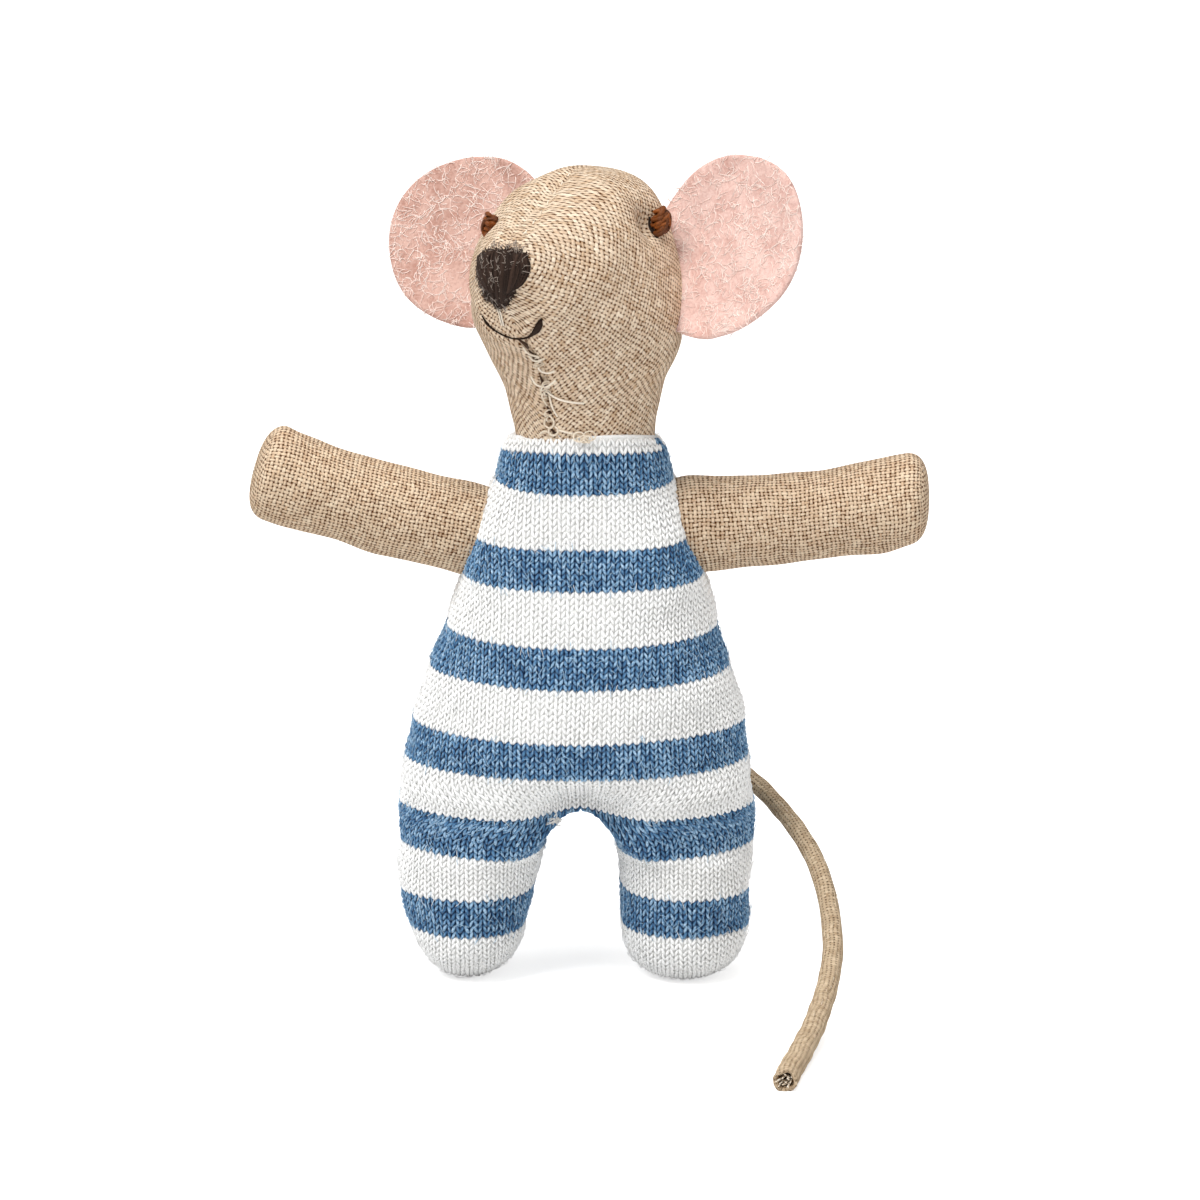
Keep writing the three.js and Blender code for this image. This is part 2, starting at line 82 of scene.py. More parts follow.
def rows_between(table, count):
    """Smooth rows between the rows of a table."""
    table = np.asarray(table, float)
    place = np.linspace(0, len(table) - 1, count)
    at = np.minimum(place.astype(int), len(table) - 2)
    t = (place - at)[:, None]
    before = table[np.maximum(at - 1, 0)]
    start = table[at]
    end = table[at + 1]
    after = table[np.minimum(at + 2, len(table) - 1)]
    rise = (end - before) / 2
    fall = (after - start) / 2
    return (start * (2 * t ** 3 - 3 * t ** 2 + 1) + rise * (t ** 3 - 2 * t ** 2 + t)
            + end * (3 * t ** 2 - 2 * t ** 3) + fall * (t ** 3 - t ** 2))


def eased(low, high, value):
    """From nought to one between two values, with soft ends."""
    t = np.clip((np.asarray(value, float) - low) / (high - low), 0.0, 1.0)
    return t * t * (3 - 2 * t)


def hill(distance, width):
    """A smooth bump of height one, with its top where the distance is nought."""
    return np.exp(-(distance / width) ** 2)


def turns(count):
    """Angles once round, at even steps."""
    return np.linspace(0, FULL_TURN, count, endpoint=False)


def unit(vectors):
    length = np.linalg.norm(vectors, axis=-1, keepdims=True)
    return vectors / np.maximum(length, 1e-9)


def run_lengths(points):
    """Length along a line of points, from its start."""
    steps = np.linalg.norm(np.diff(points, axis=-2), axis=-1)
    return np.concatenate([np.zeros(steps.shape[:-1] + (1,)), np.cumsum(steps, axis=-1)], axis=-1)


def rgb(red, green, blue):
    """A colour as an eye reads it, in the renderer's own scale."""
    parts = []
    for value in (red, green, blue):
        value = value / 255.0
        parts.append(value / 12.92 if value <= 0.04045 else ((value + 0.055) / 1.055) ** 2.4)
    return (*parts, 1.0)


def make_piece(name, points, blocks, finishes, values=None):
    """A mesh from points in mm and blocks of faces: (faces, finish, uv of each corner)."""
    mesh = bpy.data.meshes.new(name)
    points = np.asarray(points, float)
    corners = np.concatenate([np.asarray(faces).ravel() for faces, _, _ in blocks])
    sizes = np.concatenate([np.full(len(faces), np.asarray(faces).shape[1]) for faces, _, _ in blocks])
    starts = np.concatenate([[0], np.cumsum(sizes)[:-1]])
    mesh.vertices.add(len(points))
    mesh.vertices.foreach_set("co", (points * MM).ravel())
    mesh.loops.add(len(corners))
    mesh.loops.foreach_set("vertex_index", corners.astype(np.int32))
    mesh.polygons.add(len(sizes))
    mesh.polygons.foreach_set("loop_start", starts.astype(np.int32))
    chosen = []
    for faces, finish, _ in blocks:
        chosen.append(np.full(len(faces), finish) if np.isscalar(finish) else finish)
    mesh.polygons.foreach_set("material_index", np.concatenate(chosen).astype(np.int32))
    mesh.polygons.foreach_set("use_smooth", np.ones(len(sizes), bool))
    if any(uv is not None for _, _, uv in blocks):
        layer = mesh.uv_layers.new(name="weave")
        flat = []
        for faces, _, uv in blocks:
            flat.append(np.zeros(np.asarray(faces).size * 2) if uv is None else np.asarray(uv).ravel())
        layer.data.foreach_set("uv", np.concatenate(flat))
    for key, numbers in (values or {}).items():
        store = mesh.attributes.new(key, "FLOAT", "POINT")
        store.data.foreach_set("value", np.asarray(numbers, float))
    mesh.update(calc_edges=True)
    for finish in finishes:
        mesh.materials.append(finish)
    piece = bpy.data.objects.new(name, mesh)
    bpy.context.scene.collection.objects.link(piece)
    return piece


def frames_along(path):
    """Directions ahead, to the side and over at each point of a path, without twist."""
    ahead = unit(np.gradient(path, axis=0))
    guide = np.array([0.0, 0.0, 1.0])
    if abs(ahead[0] @ guide) > 0.9:
        guide = np.array([1.0, 0.0, 0.0])
    side = np.zeros_like(path)
    previous = np.cross(guide, ahead[0])
    for k in range(len(path)):
        previous = previous - ahead[k] * (previous @ ahead[k])
        previous = previous / np.linalg.norm(previous)
        side[k] = previous
    return ahead, side, np.cross(ahead, side)


def spokes(side, over, turn):
    """Directions all round each point of a path."""
    return side[:, None, :] * np.cos(turn)[None, :, None] + over[:, None, :] * np.sin(turn)[None, :, None]


def grid_faces(rings, sides):
    """The faces of a tube of rings."""
    i, j = np.meshgrid(np.arange(rings - 1), np.arange(sides), indexing="ij")
    here = i * sides + j
    after = i * sides + (j + 1) % sides
    return np.stack([here, after, after + sides, here + sides], axis=-1).reshape(-1, 4)


def end_caps(rings, sides):
    """Faces that close a tube of rings round the two points that follow its grid."""
    here = np.arange(sides)
    after = (here + 1) % sides
    last = (rings - 1) * sides
    middle = rings * sides
    return np.vstack([
        np.column_stack([np.full(sides, middle), after, here]),
        np.column_stack([np.full(sides, middle + 1), last + here, last + after]),
    ])


def turned_out(points, quads, caps, uv=None):
    """The faces of a closed form, turned so that they look outwards."""
    a, b, c, d = (points[quads[:, k]] - points.mean(axis=0) for k in range(4))
    volume = np.sum(a * np.cross(b, c)) + np.sum(a * np.cross(c, d))
    if volume < 0:
        quads = quads[:, ::-1]
        caps = caps[:, ::-1]
        uv = None if uv is None else uv[:, ::-1]
    return quads, caps, uv


def corner_values(grid):
    """A closed grid's values at the four corners of each of its faces."""
    after = np.roll(grid, -1, axis=1)
    return np.stack([grid[:-1], after[:-1], after[1:], grid[1:]], axis=2)


def tube_map(along, around, step):
    """Places along and round a tube at the corners of its faces, with the step to the next corner."""
    i, j = np.meshgrid(np.arange(len(along) - 1), np.arange(len(around)), indexing="ij")
    lengths = np.stack([along[i], along[i], along[i + 1], along[i + 1]], axis=-1)
    rounds = np.stack([around[j], around[j] + step, around[j] + step, around[j]], axis=-1)
    return lengths, rounds


def tube_form(path, radii, sides):
    """Points and faces of a closed round strand along a path."""
    path = np.asarray(path, float)
    radii = np.broadcast_to(np.asarray(radii, float), len(path))
    ahead, side, over = frames_along(path)
    points = path[:, None, :] + spokes(side, over, turns(sides)) * radii[:, None, None]
    start = path[0] - ahead[0] * radii[0] * 0.5
    end = path[-1] + ahead[-1] * radii[-1] * 0.5
    rings = len(path)
    return np.vstack([points.reshape(-1, 3), start, end]), grid_faces(rings, sides), end_caps(rings, sides)


def strands_piece(name, strands, finish, sides=5):
    """Many strands in one mesh: each has its path and its radii."""
    points, quads, caps, tones = [], [], [], []
    count = 0
    for path, radii in strands:
        form, sheath, ends = tube_form(path, radii, sides)
        points.append(form)
        quads.append(sheath + count)
        caps.append(ends + count)
        tones.append(np.full(len(form), chance.random()))
        count += len(form)
    blocks = [(np.vstack(quads), 0, None), (np.vstack(caps), 0, None)]
    return make_piece(name, np.vstack(points), blocks, [finish], {"tone": np.concatenate(tones)})


def smooth_path(points, count):
    points = np.asarray(points, float)
    along = run_lengths(points)
    wanted = np.linspace(0, along[-1], count)
    return np.column_stack([curve_through(along, points[:, k], wanted) for k in range(3)])


def hair(points, count, thick, thin):
    """One strand that tapers from its first point to its last."""
    return smooth_path(points, count), np.linspace(thick, thin, count)


# Materials, from nodes


class Finish:
    """Builds one material, with sums written as calls."""

    def __init__(self, name, roughness, sheen=0.0, sheen_colour=(1, 1, 1, 1), specular=0.3):
        self.material = bpy.data.materials.new(name)
        self.material.use_nodes = True
        self.tree = self.material.node_tree
        self.shader = self.tree.nodes["Principled BSDF"]
        for key, value in (("Roughness", roughness), ("Specular IOR Level", specular),
                           ("Sheen Weight", sheen), ("Sheen Roughness", 0.5), ("Sheen Tint", sheen_colour)):
            self.shader.inputs[key].default_value = value

    def put(self, socket, value):
        if isinstance(value, bpy.types.NodeSocket):
            self.tree.links.new(value, socket)
        else:
            socket.default_value = value

    def add(self, kind, *values, **settings):
        """A new node: its settings, then its first inputs in their order."""
        node = self.tree.nodes.new("ShaderNode" + kind)
        for name, value in settings.items():
            setattr(node, name, value)
        for socket, value in zip(node.inputs, values):
            self.put(socket, value)
        return node

    def sum(self, operation, *values):
        return self.add("Math", *values, operation=operation).outputs[0]

    def scaled(self, vector, factors):
        return self.add("VectorMath", vector, factors, operation="MULTIPLY").outputs[0]

    def place(self):
        """The piece's own coordinates, in millimetres."""
        return self.scaled(self.add("TexCoord").outputs["Object"], (1000.0, 1000.0, 1000.0))

    def weave(self):
        """The two coordinates of the cloth's own map, counted in threads."""
        split = self.add("SeparateXYZ", self.add("UVMap", uv_map="weave").outputs[0])
        return split.outputs[0], split.outputs[1]

    def value_of(self, name):
        return self.add("Attribute", attribute_name=name).outputs["Fac"]

    def noise(self, vector, scale, detail=2.0, rough=0.5):
        node = self.add("TexNoise", vector)
        for key, value in (("Scale", scale), ("Detail", detail), ("Roughness", rough)):
            node.inputs[key].default_value = value
        return node.outputs["Fac"]

    def joined(self, x, y):
        return self.add("CombineXYZ", x, y).outputs[0]

    def ramp(self, value, stops):
        node = self.add("ValToRGB", value)
        elements = node.color_ramp.elements
        while len(elements) < len(stops):
            elements.new(0.5)
        for element, (position, colour) in zip(elements, stops):
            element.position = position
            element.color = colour
        return node.outputs["Color"]

    def mixed(self, share, first, second):
        node = self.add("Mix", share, data_type="RGBA")
        self.put(node.inputs[6], first)
        self.put(node.inputs[7], second)
        return node.outputs[2]

    def spread(self, value, low, high, to_low=0.0, to_high=1.0):
        return self.add("MapRange", value, low, high, to_low, to_high).outputs[0]

    def swayed(self, value, noise, reach, low=0.3, high=0.7):
        """A value that a noise moves up and down."""
        return self.sum("ADD", value, self.spread(noise, low, high, -reach, reach))

    def finish(self, colour, height, depth, strength):
        """The material, with its colour and a bump whose depth is in millimetres."""
        self.put(self.shader.inputs["Base Color"], colour)
        bump = self.add("Bump")
        bump.inputs["Strength"].default_value = strength
        bump.inputs["Distance"].default_value = depth * MM
        self.tree.links.new(height, bump.inputs["Height"])
        self.tree.links.new(bump.outputs[0], self.shader.inputs["Normal"])
        return self.material


def linen_finish(name, dark, low, high, gap=1.0, gap_shade_at=0.14):
    """Plain weave: one unit of the weave's map is one thread, and the low places between the threads take the
    dark colour as painted shade.
    """
    f = Finish(name, 0.95, specular=0.06)
    mm = f.place()
    x, y = f.weave()
    x = f.swayed(x, f.noise(mm, 0.28, 1.0), 0.3)
    y = f.swayed(y, f.noise(mm, 0.33, 1.0), 0.3)
    across = f.sum("SINE", f.sum("MULTIPLY", x, math.pi))
    along = f.sum("SINE", f.sum("MULTIPLY", y, math.pi))
    warp_width = f.noise(f.joined(f.sum("FLOOR", x), f.sum("MULTIPLY", y, 0.09)), 3.7, 1.0)
    weft_width = f.noise(f.joined(f.sum("MULTIPLY", x, 0.09), f.sum("FLOOR", y)), 4.3, 1.0)

    def thread(wave, width, crossing, dip):
        """How high a thread stands: round across its width, over and under along its length."""
        full = f.spread(width, 0.25, 0.75, 1.02 * gap, 0.64 * gap)
        rise = f.sum("MINIMUM", f.sum("DIVIDE", f.sum("ABSOLUTE", wave), full), 1.0)
        bend = f.sum("MULTIPLY", crossing, f.sum("SIGN", wave))
        return f.sum("MULTIPLY", rise, f.sum("MULTIPLY_ADD", bend, dip, 0.72))

    warp = thread(across, warp_width, along, 0.28)
    weft = thread(along, weft_width, across, -0.28)
    fibre = f.noise(mm, 9.0, 3.0, 0.65)
    height = f.swayed(f.sum("MAXIMUM", warp, weft), fibre, 0.1)
    pit_shade = f.swayed(height, f.noise(mm, 1.4, 2.0), 0.14)
    tints = [f.mixed(f.spread(width, 0.3, 0.7), low, high) for width in (warp_width, weft_width)]
    tint = f.mixed(f.sum("GREATER_THAN", weft, warp), *tints)
    tint = f.mixed(f.spread(f.noise(mm, 0.16, 3.0), 0.3, 0.75, 0.0, 0.2), tint, high)
    tint = f.mixed(f.spread(fibre, 0.62, 0.8, 0.0, 0.6), tint, rgb(246, 232, 210))
    # Painted shade: the gaps between the threads take the dark colour.
    colour = f.mixed(f.spread(pit_shade, gap_shade_at, gap_shade_at + 0.46), dark, tint)
    return f.finish(colour, height, 0.2, 1.0)


def knit_finish(name, stops, streak, streak_share):
    """Cotton yarn: colour runs with lift from dark in the valleys to pale on the crests, painted shade and
    painted highlight, and tone runs from stitch to stitch.
    """
    f = Finish(name, 0.95, sheen=0.22, specular=0.2)
    mm = f.place()
    fine = f.noise(mm, 5.5, 3.0, 0.7)
    lift = f.value_of("lift")
    tone = f.value_of("tone")
    level = f.sum("ADD", f.sum("MULTIPLY", lift, 0.5), f.sum("MULTIPLY", tone, 0.34))
    level = f.swayed(level, fine, 0.22, 0.25, 0.75)
    level = f.swayed(level, f.noise(mm, 0.35, 2.0), 0.05)
    # Pale streaks of the yarn's own paler fibres, kept to the high crests: partly real fibre colour, partly
    # painted highlight.
    bright = f.spread(f.sum("MULTIPLY", lift, tone), 0.15, 0.6)
    bright = f.sum("MULTIPLY", f.spread(fine, 0.53, 0.7), bright)
    colour = f.mixed(f.sum("MULTIPLY", bright, streak_share), f.ramp(level, stops), streak)
    return f.finish(colour, f.noise(mm, 11.0, 3.0, 0.7), 0.05, 0.7)


def felt_finish(name, low, high, pit):
    """Pressed wool: clouds, and fibres that lie both ways."""
    f = Finish(name, 0.97, sheen=0.3, sheen_colour=rgb(255, 232, 224), specular=0.15)
    mm = f.place()
    cloud = f.sum("MULTIPLY", f.noise(mm, 0.35, 4.0, 0.6), 0.5)
    fibre = f.noise(f.scaled(mm, (1.0, 1.0, 0.45)), 3.2, 4.0, 0.7)
    cross = f.noise(f.scaled(mm, (0.5, 1.0, 1.0)), 4.4, 4.0, 0.7)
    fibres = f.sum("MAXIMUM", fibre, cross)
    level = f.sum("ADD", cloud, f.sum("MULTIPLY", fibres, 0.6))
    colour = f.mixed(f.spread(level, 0.48, 0.64), low, high)
    colour = f.mixed(f.spread(f.noise(mm, 5.0, 2.0, 0.6), 0.56, 0.7, 0.0, 0.42), colour, pit)
    return f.finish(colour, f.sum("ADD", fibres, cloud), 0.15, 0.8)


def thread_finish(name, dark, light, rough, sheen=0.1, specular=0.4):
    """Thread, wool or fluff: tone runs from strand to strand."""
    f = Finish(name, rough, sheen=sheen, specular=specular)
    fibre = f.noise(f.place(), 12.0, 3.0, 0.7)
    level = f.sum("ADD", f.sum("MULTIPLY", f.value_of("tone"), 0.55), f.spread(fibre, 0.3, 0.7, -0.1, 0.5))
    return f.finish(f.mixed(level, dark, light), fibre, 0.05, 0.7)


WHITE_KNIT = knit_finish("white_knit", [
    (0.0, rgb(235, 235, 233)), (0.25, rgb(247, 247, 245)),
    (0.5, rgb(250, 250, 249)), (1.0, rgb(251, 251, 250)),
], rgb(252, 252, 252), 0.3)
BLUE_KNIT = knit_finish("blue_knit", [
    (0.0, rgb(12, 40, 74)), (0.28, rgb(34, 76, 118)), (0.56, rgb(84, 130, 170)), (0.9, rgb(168, 202, 228)),
], rgb(206, 226, 242), 0.85)
# The first colour of each linen is the painted shade in the gaps between its threads.
HEAD_LINEN = linen_finish("head_linen", rgb(96, 58, 30), rgb(204, 171, 137), rgb(243, 224, 200), 1.0, 0.32)
ARM_LINEN = linen_finish("arm_linen", rgb(88, 53, 28), rgb(206, 174, 142), rgb(234, 212, 184), 1.05, 0.33)
TAIL_LINEN = linen_finish("tail_linen", rgb(84, 60, 38), rgb(176, 150, 120), rgb(216, 194, 164))
# The same felt twice: the left ear's copy is darker, painted shade, as that ear faces away from the light.
LEFT_FELT_SHADED = felt_finish("left_felt_shaded", rgb(176, 133, 119), rgb(209, 173, 160), rgb(160, 107, 94))
RIGHT_FELT = felt_finish("right_felt", rgb(199, 158, 147), rgb(226, 194, 184), rgb(180, 126, 115))
FELT_FIBRE = thread_finish("felt_fibre", rgb(236, 202, 190), rgb(255, 244, 236), 0.9)
DARK_WOOL = thread_finish("dark_wool", rgb(12, 8, 6), rgb(74, 56, 47), 0.75, sheen=0.0, specular=0.1)
GREY_WOOL = thread_finish("grey_wool", rgb(84, 72, 64), rgb(196, 180, 166), 0.7)
BROWN_THREAD = thread_finish("brown_thread", rgb(30, 11, 3), rgb(150, 80, 24), 0.5, sheen=0.0, specular=0.25)
DARK_THREAD = thread_finish("dark_thread", rgb(20, 12, 9), rgb(50, 36, 28), 0.8, sheen=0.0, specular=0.12)
PALE_THREAD = thread_finish("pale_thread", rgb(214, 194, 168), rgb(252, 243, 228), 0.85)
# Dark strands that stand for the shadow in the chin seam's gaps: painted shadow.
FURROW_SHADOW = thread_finish("furrow_shadow", rgb(52, 33, 20), rgb(84, 58, 38), 0.9)
WHITE_FLUFF = thread_finish("white_fluff", rgb(214, 212, 208), rgb(246, 245, 242), 0.95)


# Camera: it looks down from far away, through a long lens

CAMERA_TARGET = Vector((1.06, BODY_BACK, 41.27)) * MM
CAMERA_DISTANCE = 2.5
CAMERA_LENS = 705.0


def make_camera():
    away = Vector((0.0, -math.cos(CAMERA_TILT), math.sin(CAMERA_TILT)))
    camera = bpy.data.objects.new("camera", bpy.data.cameras.new("camera"))
    camera.data.sensor_width = 36.0
    camera.data.lens = CAMERA_LENS
    camera.data.clip_end = 10.0
    camera.location = CAMERA_TARGET + away * CAMERA_DISTANCE
    camera.rotation_euler = (math.pi / 2 - CAMERA_TILT, 0.0, 0.0)
    bpy.context.scene.collection.objects.link(camera)
    bpy.context.scene.camera = camera


make_camera()


# Tail: a rolled strip of linen, free from the seat seam on

TAIL_ROUTE = np.array([
    [-0.9, 13.25, 23], [-0.9, 15.2, 23], [-0.5, 17.2, 22.9], [0.55, 18.9, 22.7], [2.2, 20, 22.4],
    [4.2, 20.3, 22], [7, 19.9, 21.5], [9.8, 18.9, 20.9], [12.3, 17.4, 20.3], [14.5, 15.5, 19.6],
    [16.5, 13.2, 18.8], [18.5, 10.4, 17.8], [20.4, 7.4, 16.5], [22.3, 3.9, 14.9], [23.9, 0.4, 13],
    [25, -3.4, 10.8], [25.6, -7.2, 8.6], [25.8, -11, 6.8], [25.6, -14.8, 5.2], [25.1, -18.8, 4.1],
    [24.4, -23, 3], [23.6, -27.4, 2.2], [22.7, -31.8, 1.6], [21.8, -36.2, 1.2], [21, -40.6, 1.1],
    [20.4, -44.8, 1.1],
])
TAIL_SIDES = 36
TAIL_THREADS_ROUND = 15.0
TAIL_THREAD = 0.42
# How wide each inner ring of the open end is, and how far back it lies
TAIL_MOUTH = [(0.93, -0.12), (0.82, -0.16), (0.72, -0.02), (0.66, 0.35), (0.6, 1.2), (0.4, 2.2)]


def make_tail():
    path = smooth_path(TAIL_ROUTE, 303)[:-3]
    along = run_lengths(path)
    length = along[-1]
    ahead, side, over = frames_along(path)
    turn = turns(TAIL_SIDES)
    radius = 0.95 + 0.32 * eased(25, length, along)
    # The strip's raw edge laps over the roll and wanders round it
    edge = 2.2 + 0.9 * np.sin(along * 0.09)
    behind = (turn[None, :] - edge[:, None]) % FULL_TURN
    lap = 0.13 * np.exp(-behind / 0.9) * eased(0.0, 0.12, behind)
    waves = 0.04 * np.sin(along * 1.7)[:, None] * np.cos(turn * 2)[None, :]
    waves = waves + 0.03 * np.sin(along * 0.8 + 1)[:, None] * np.sin(turn * 3)[None, :]
    reach = radius[:, None] + lap + waves
    rings = path[:, None, :] + spokes(side, over, turn) * reach[:, :, None]
    # The open end turns in and runs back inside the roll
    tip = path[-1]
    out = ahead[-1]
    inner = []
    for share, back in TAIL_MOUTH:
        crumple = 1 + 0.12 * np.sin(turn * 4 + back * 2)
        offset = rings[-1] - tip
        inner.append(tip + offset * share * crumple[:, None] - out * back)
    rings = np.concatenate([rings, np.array(inner)])
    rings[..., 2] = np.maximum(rings[..., 2], 0.03)
    points = np.vstack([rings.reshape(-1, 3), path[0] - ahead[0] * 0.3, tip - out * 2.4])
    threads_along = np.concatenate([along, length + np.arange(1, 7) * 0.3]) / TAIL_THREAD
    threads_round = turn / FULL_TURN * TAIL_THREADS_ROUND
    lengths, rounds = tube_map(threads_along, threads_round, TAIL_THREADS_ROUND / TAIL_SIDES)
    uv = np.stack([rounds, lengths], axis=-1).reshape(-1, 4, 2)
    quads = grid_faces(len(rings), TAIL_SIDES)
    caps = end_caps(len(rings), TAIL_SIDES)
    tail = make_piece("tail_roll", points, [(quads, 0, uv), (caps, 0, None)], [TAIL_LINEN])
    # Frayed ends and folds in the opening, and a few loose fibres along the raw edge
    strands = []
    for k in range(16):
        angle = k * FULL_TURN / 16 + chance.uniform(-0.2, 0.2)
        reach = chance.uniform(0.25, 0.78)
        spot = side[-1] * math.cos(angle) * reach + over[-1] * math.sin(angle) * reach
        bend = side[-1] * chance.uniform(-0.3, 0.3) + over[-1] * chance.uniform(-0.3, 0.3)
        start = tip + spot - out * 1.1
        middle = tip + spot * 1.05 - out * 0.35 + bend * 0.4
        end = tip + spot * 1.0 + out * chance.uniform(-0.05, 0.22) + bend
        strands.append(hair([start, middle, end], 7, 0.16, 0.07))
    for _ in range(26):
        at = int(chance.uniform(30, 296))
        angle = edge[at] + chance.uniform(-0.05, 0.2)
        radial = side[at] * math.cos(angle) + over[at] * math.sin(angle)
        start = path[at] + radial * (radius[at] + 0.02)
        end = start + radial * chance.uniform(0.05, 0.22) + ahead[at] * chance.uniform(-0.9, 0.9)
        middle = (start + end) / 2 + radial * 0.08
        strands.append(hair([start, middle, end], 5, 0.045, 0.02))
    for strand, _ in strands:
        strand[:, 2] = np.maximum(strand[:, 2], 0.12)
    fray = strands_piece("tail_fray", strands, PALE_THREAD)
    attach(tail, "torso")
    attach(fray, "torso")
    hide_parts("tail")


make_tail()


# Suit: two halves of striped knit, each from the collar down one leg

WALE = 0.95
ROWS_A_COURSE = 8
FIRST_COURSE = -2.5
# The last course above the foot's round, and the height of a course under it
LAST_COURSE = 82
COURSE_UNDER = 0.65
STRIPES = [(0, 6), (15, 22), (31, 38), (47, 53), (61, 68), (76, 82)]
COURSE_AT = [FIRST_COURSE, -2, 0, 6, 15, 22, 31, 38, 47, 53, 61, 68, 76, LAST_COURSE]
COURSE_HEIGHT = [59.3, 59.05, 57.9, 55.0, 49.3, 45.0, 39.0, 34.6, 28.7, 24.7, 19.5, 15.2, 10.0, 5.8]
FOOT_TOP = 5.8
FOOT_RADIUS = 6.6
FOOT_POWER = {-1: 1.85, 1: 2.4}
# Half widths of the two sides, the line between them, and the depth, each at its heights
OUTLINE_AT = [5.8, 8.2, 11.5, 14.8, 18.1, 21.5, 24.7, 28, 31.4, 34.7, 38, 41.3, 44.5,
              49, 53, 56.1, 57.8, 59.4, 61]
OUTLINE = {
    -1: [-19.05, -19.8, -20.25, -20.35, -20.2, -19.9, -19.55, -19.0, -17.9, -16.7, -15.6, -14.6, -13.55,
         -12.4, -10.9, -9.7, -9.05, -8.45, -8.15],
    1: [16.6, 16.85, 17.1, 17.3, 17.25, 17.1, 16.8, 16.35, 15.65, 14.7, 13.8, 12.85, 12.05,
        10.75, 9.4, 8.35, 7.9, 7.1, 6.9],
}
MIDDLE_AT = [5.8, 20, 28, 36, 43, 61]
MIDDLE = [-1.0, -1.05, -1.15, -0.9, -0.7, -0.6]
DEPTH_AT = [5.8, 8, 11.6, 14.5, 16.5, 18, 19.6, 21.5, 24.7, 28, 31.4, 35.4, 39.7,
            43.6, 48, 52.3, 56.2, 59.4, 61]
DEPTH = [7.2, 7.5, 7.9, 8.35, 8.9, 9.6, 10.4, 11.3, 12.2, 12.7, 12.8, 12.4, 11.8,
         11.1, 10.2, 9.2, 8.5, 8.15, 8.1]
# The arch between the legs: its half width on each side, and the power of its round top
CROTCH_TOP = 19.1
ARCH_AT = [5.8, 8.2, 11.5, 13.3, 15.2]
ARCH = {-1: [6.0, 5.3, 4.6, 4.2, 3.9], 1: [4.5, 4.4, 4.3, 4.15, 3.9]}
ARCH_TOP = 15.2
ARCH_POWER = 2.7
# The middle line of half a stitch: its place down the course, and its reach from the wale's middle
STITCH_LINE = [(-1.0, 0.44), (-0.5, 0.37), (0.0, 0.26), (0.5, 0.145), (1.0, 0.06)]
# The rolled collar's inner rings: how far each drops, and how far in it lies
COLLAR_ROLL = [(2.8, 1.1), (1.0, 0.95), (0.1, 0.75), (-0.12, 0.45), (-0.08, 0.12)]

SuitRows = namedtuple("SuitRows", "course height middle centre outward inward depth back power")


def suit_rows(side):
    """One row of numbers for each eighth of a course, from the collar to under the foot."""
    turn = np.linspace(0, math.pi / 2, 400)
    bend = 2 / FOOT_POWER[side]
    narrow = np.cos(turn) ** bend
    low = FOOT_TOP * (1 - np.sin(turn) ** bend)
    way = np.concatenate([[0], np.cumsum(np.hypot(np.diff(narrow) * FOOT_RADIUS, np.diff(low)))])
    last = LAST_COURSE + (way[-1] - 0.35) / COURSE_UNDER
    course = np.arange(FIRST_COURSE * ROWS_A_COURSE, math.floor(last * ROWS_A_COURSE) + 1) / ROWS_A_COURSE
    height = curve_through(COURSE_AT, COURSE_HEIGHT, np.minimum(course, LAST_COURSE))
    under = np.maximum(course - LAST_COURSE, 0) * COURSE_UNDER
    height = np.where(course > LAST_COURSE, np.interp(under, way, low), height)
    shrink = np.interp(under, way, narrow)
    level = np.maximum(height, FOOT_TOP)
    middle = curve_through(MIDDLE_AT, MIDDLE, level)
    outer = curve_through(OUTLINE_AT, OUTLINE[side], level)
    arch = curve_through(ARCH_AT, ARCH[side], level)
    lens = np.clip((level - ARCH_TOP) / (CROTCH_TOP - ARCH_TOP), 0, 1)
    arch = np.where(level > ARCH_TOP, ARCH[side][-1] * (1 - lens ** ARCH_POWER) ** (1 / ARCH_POWER), arch)
    inner = middle + side * arch
    share = 0.5 * (1 - eased(14.0, CROTCH_TOP, level) ** 0.5)
    centre = inner + (outer - inner) * share
    centre = np.where(course > LAST_COURSE, (outer + inner) / 2, centre)
    outward = np.abs(outer - centre) * shrink
    inward = np.abs(centre - inner) * shrink
    depth = curve_through(DEPTH_AT, DEPTH, level) * shrink
    back = BODY_BACK + 0.4 * (1 - eased(12, 24, level))
    power = 2 + 0.3 * hill(level - 21, 4) + 0.9 * hill(level - 49, 5.5)
    return SuitRows(course, height, middle, centre, outward, inward, depth, back, power)


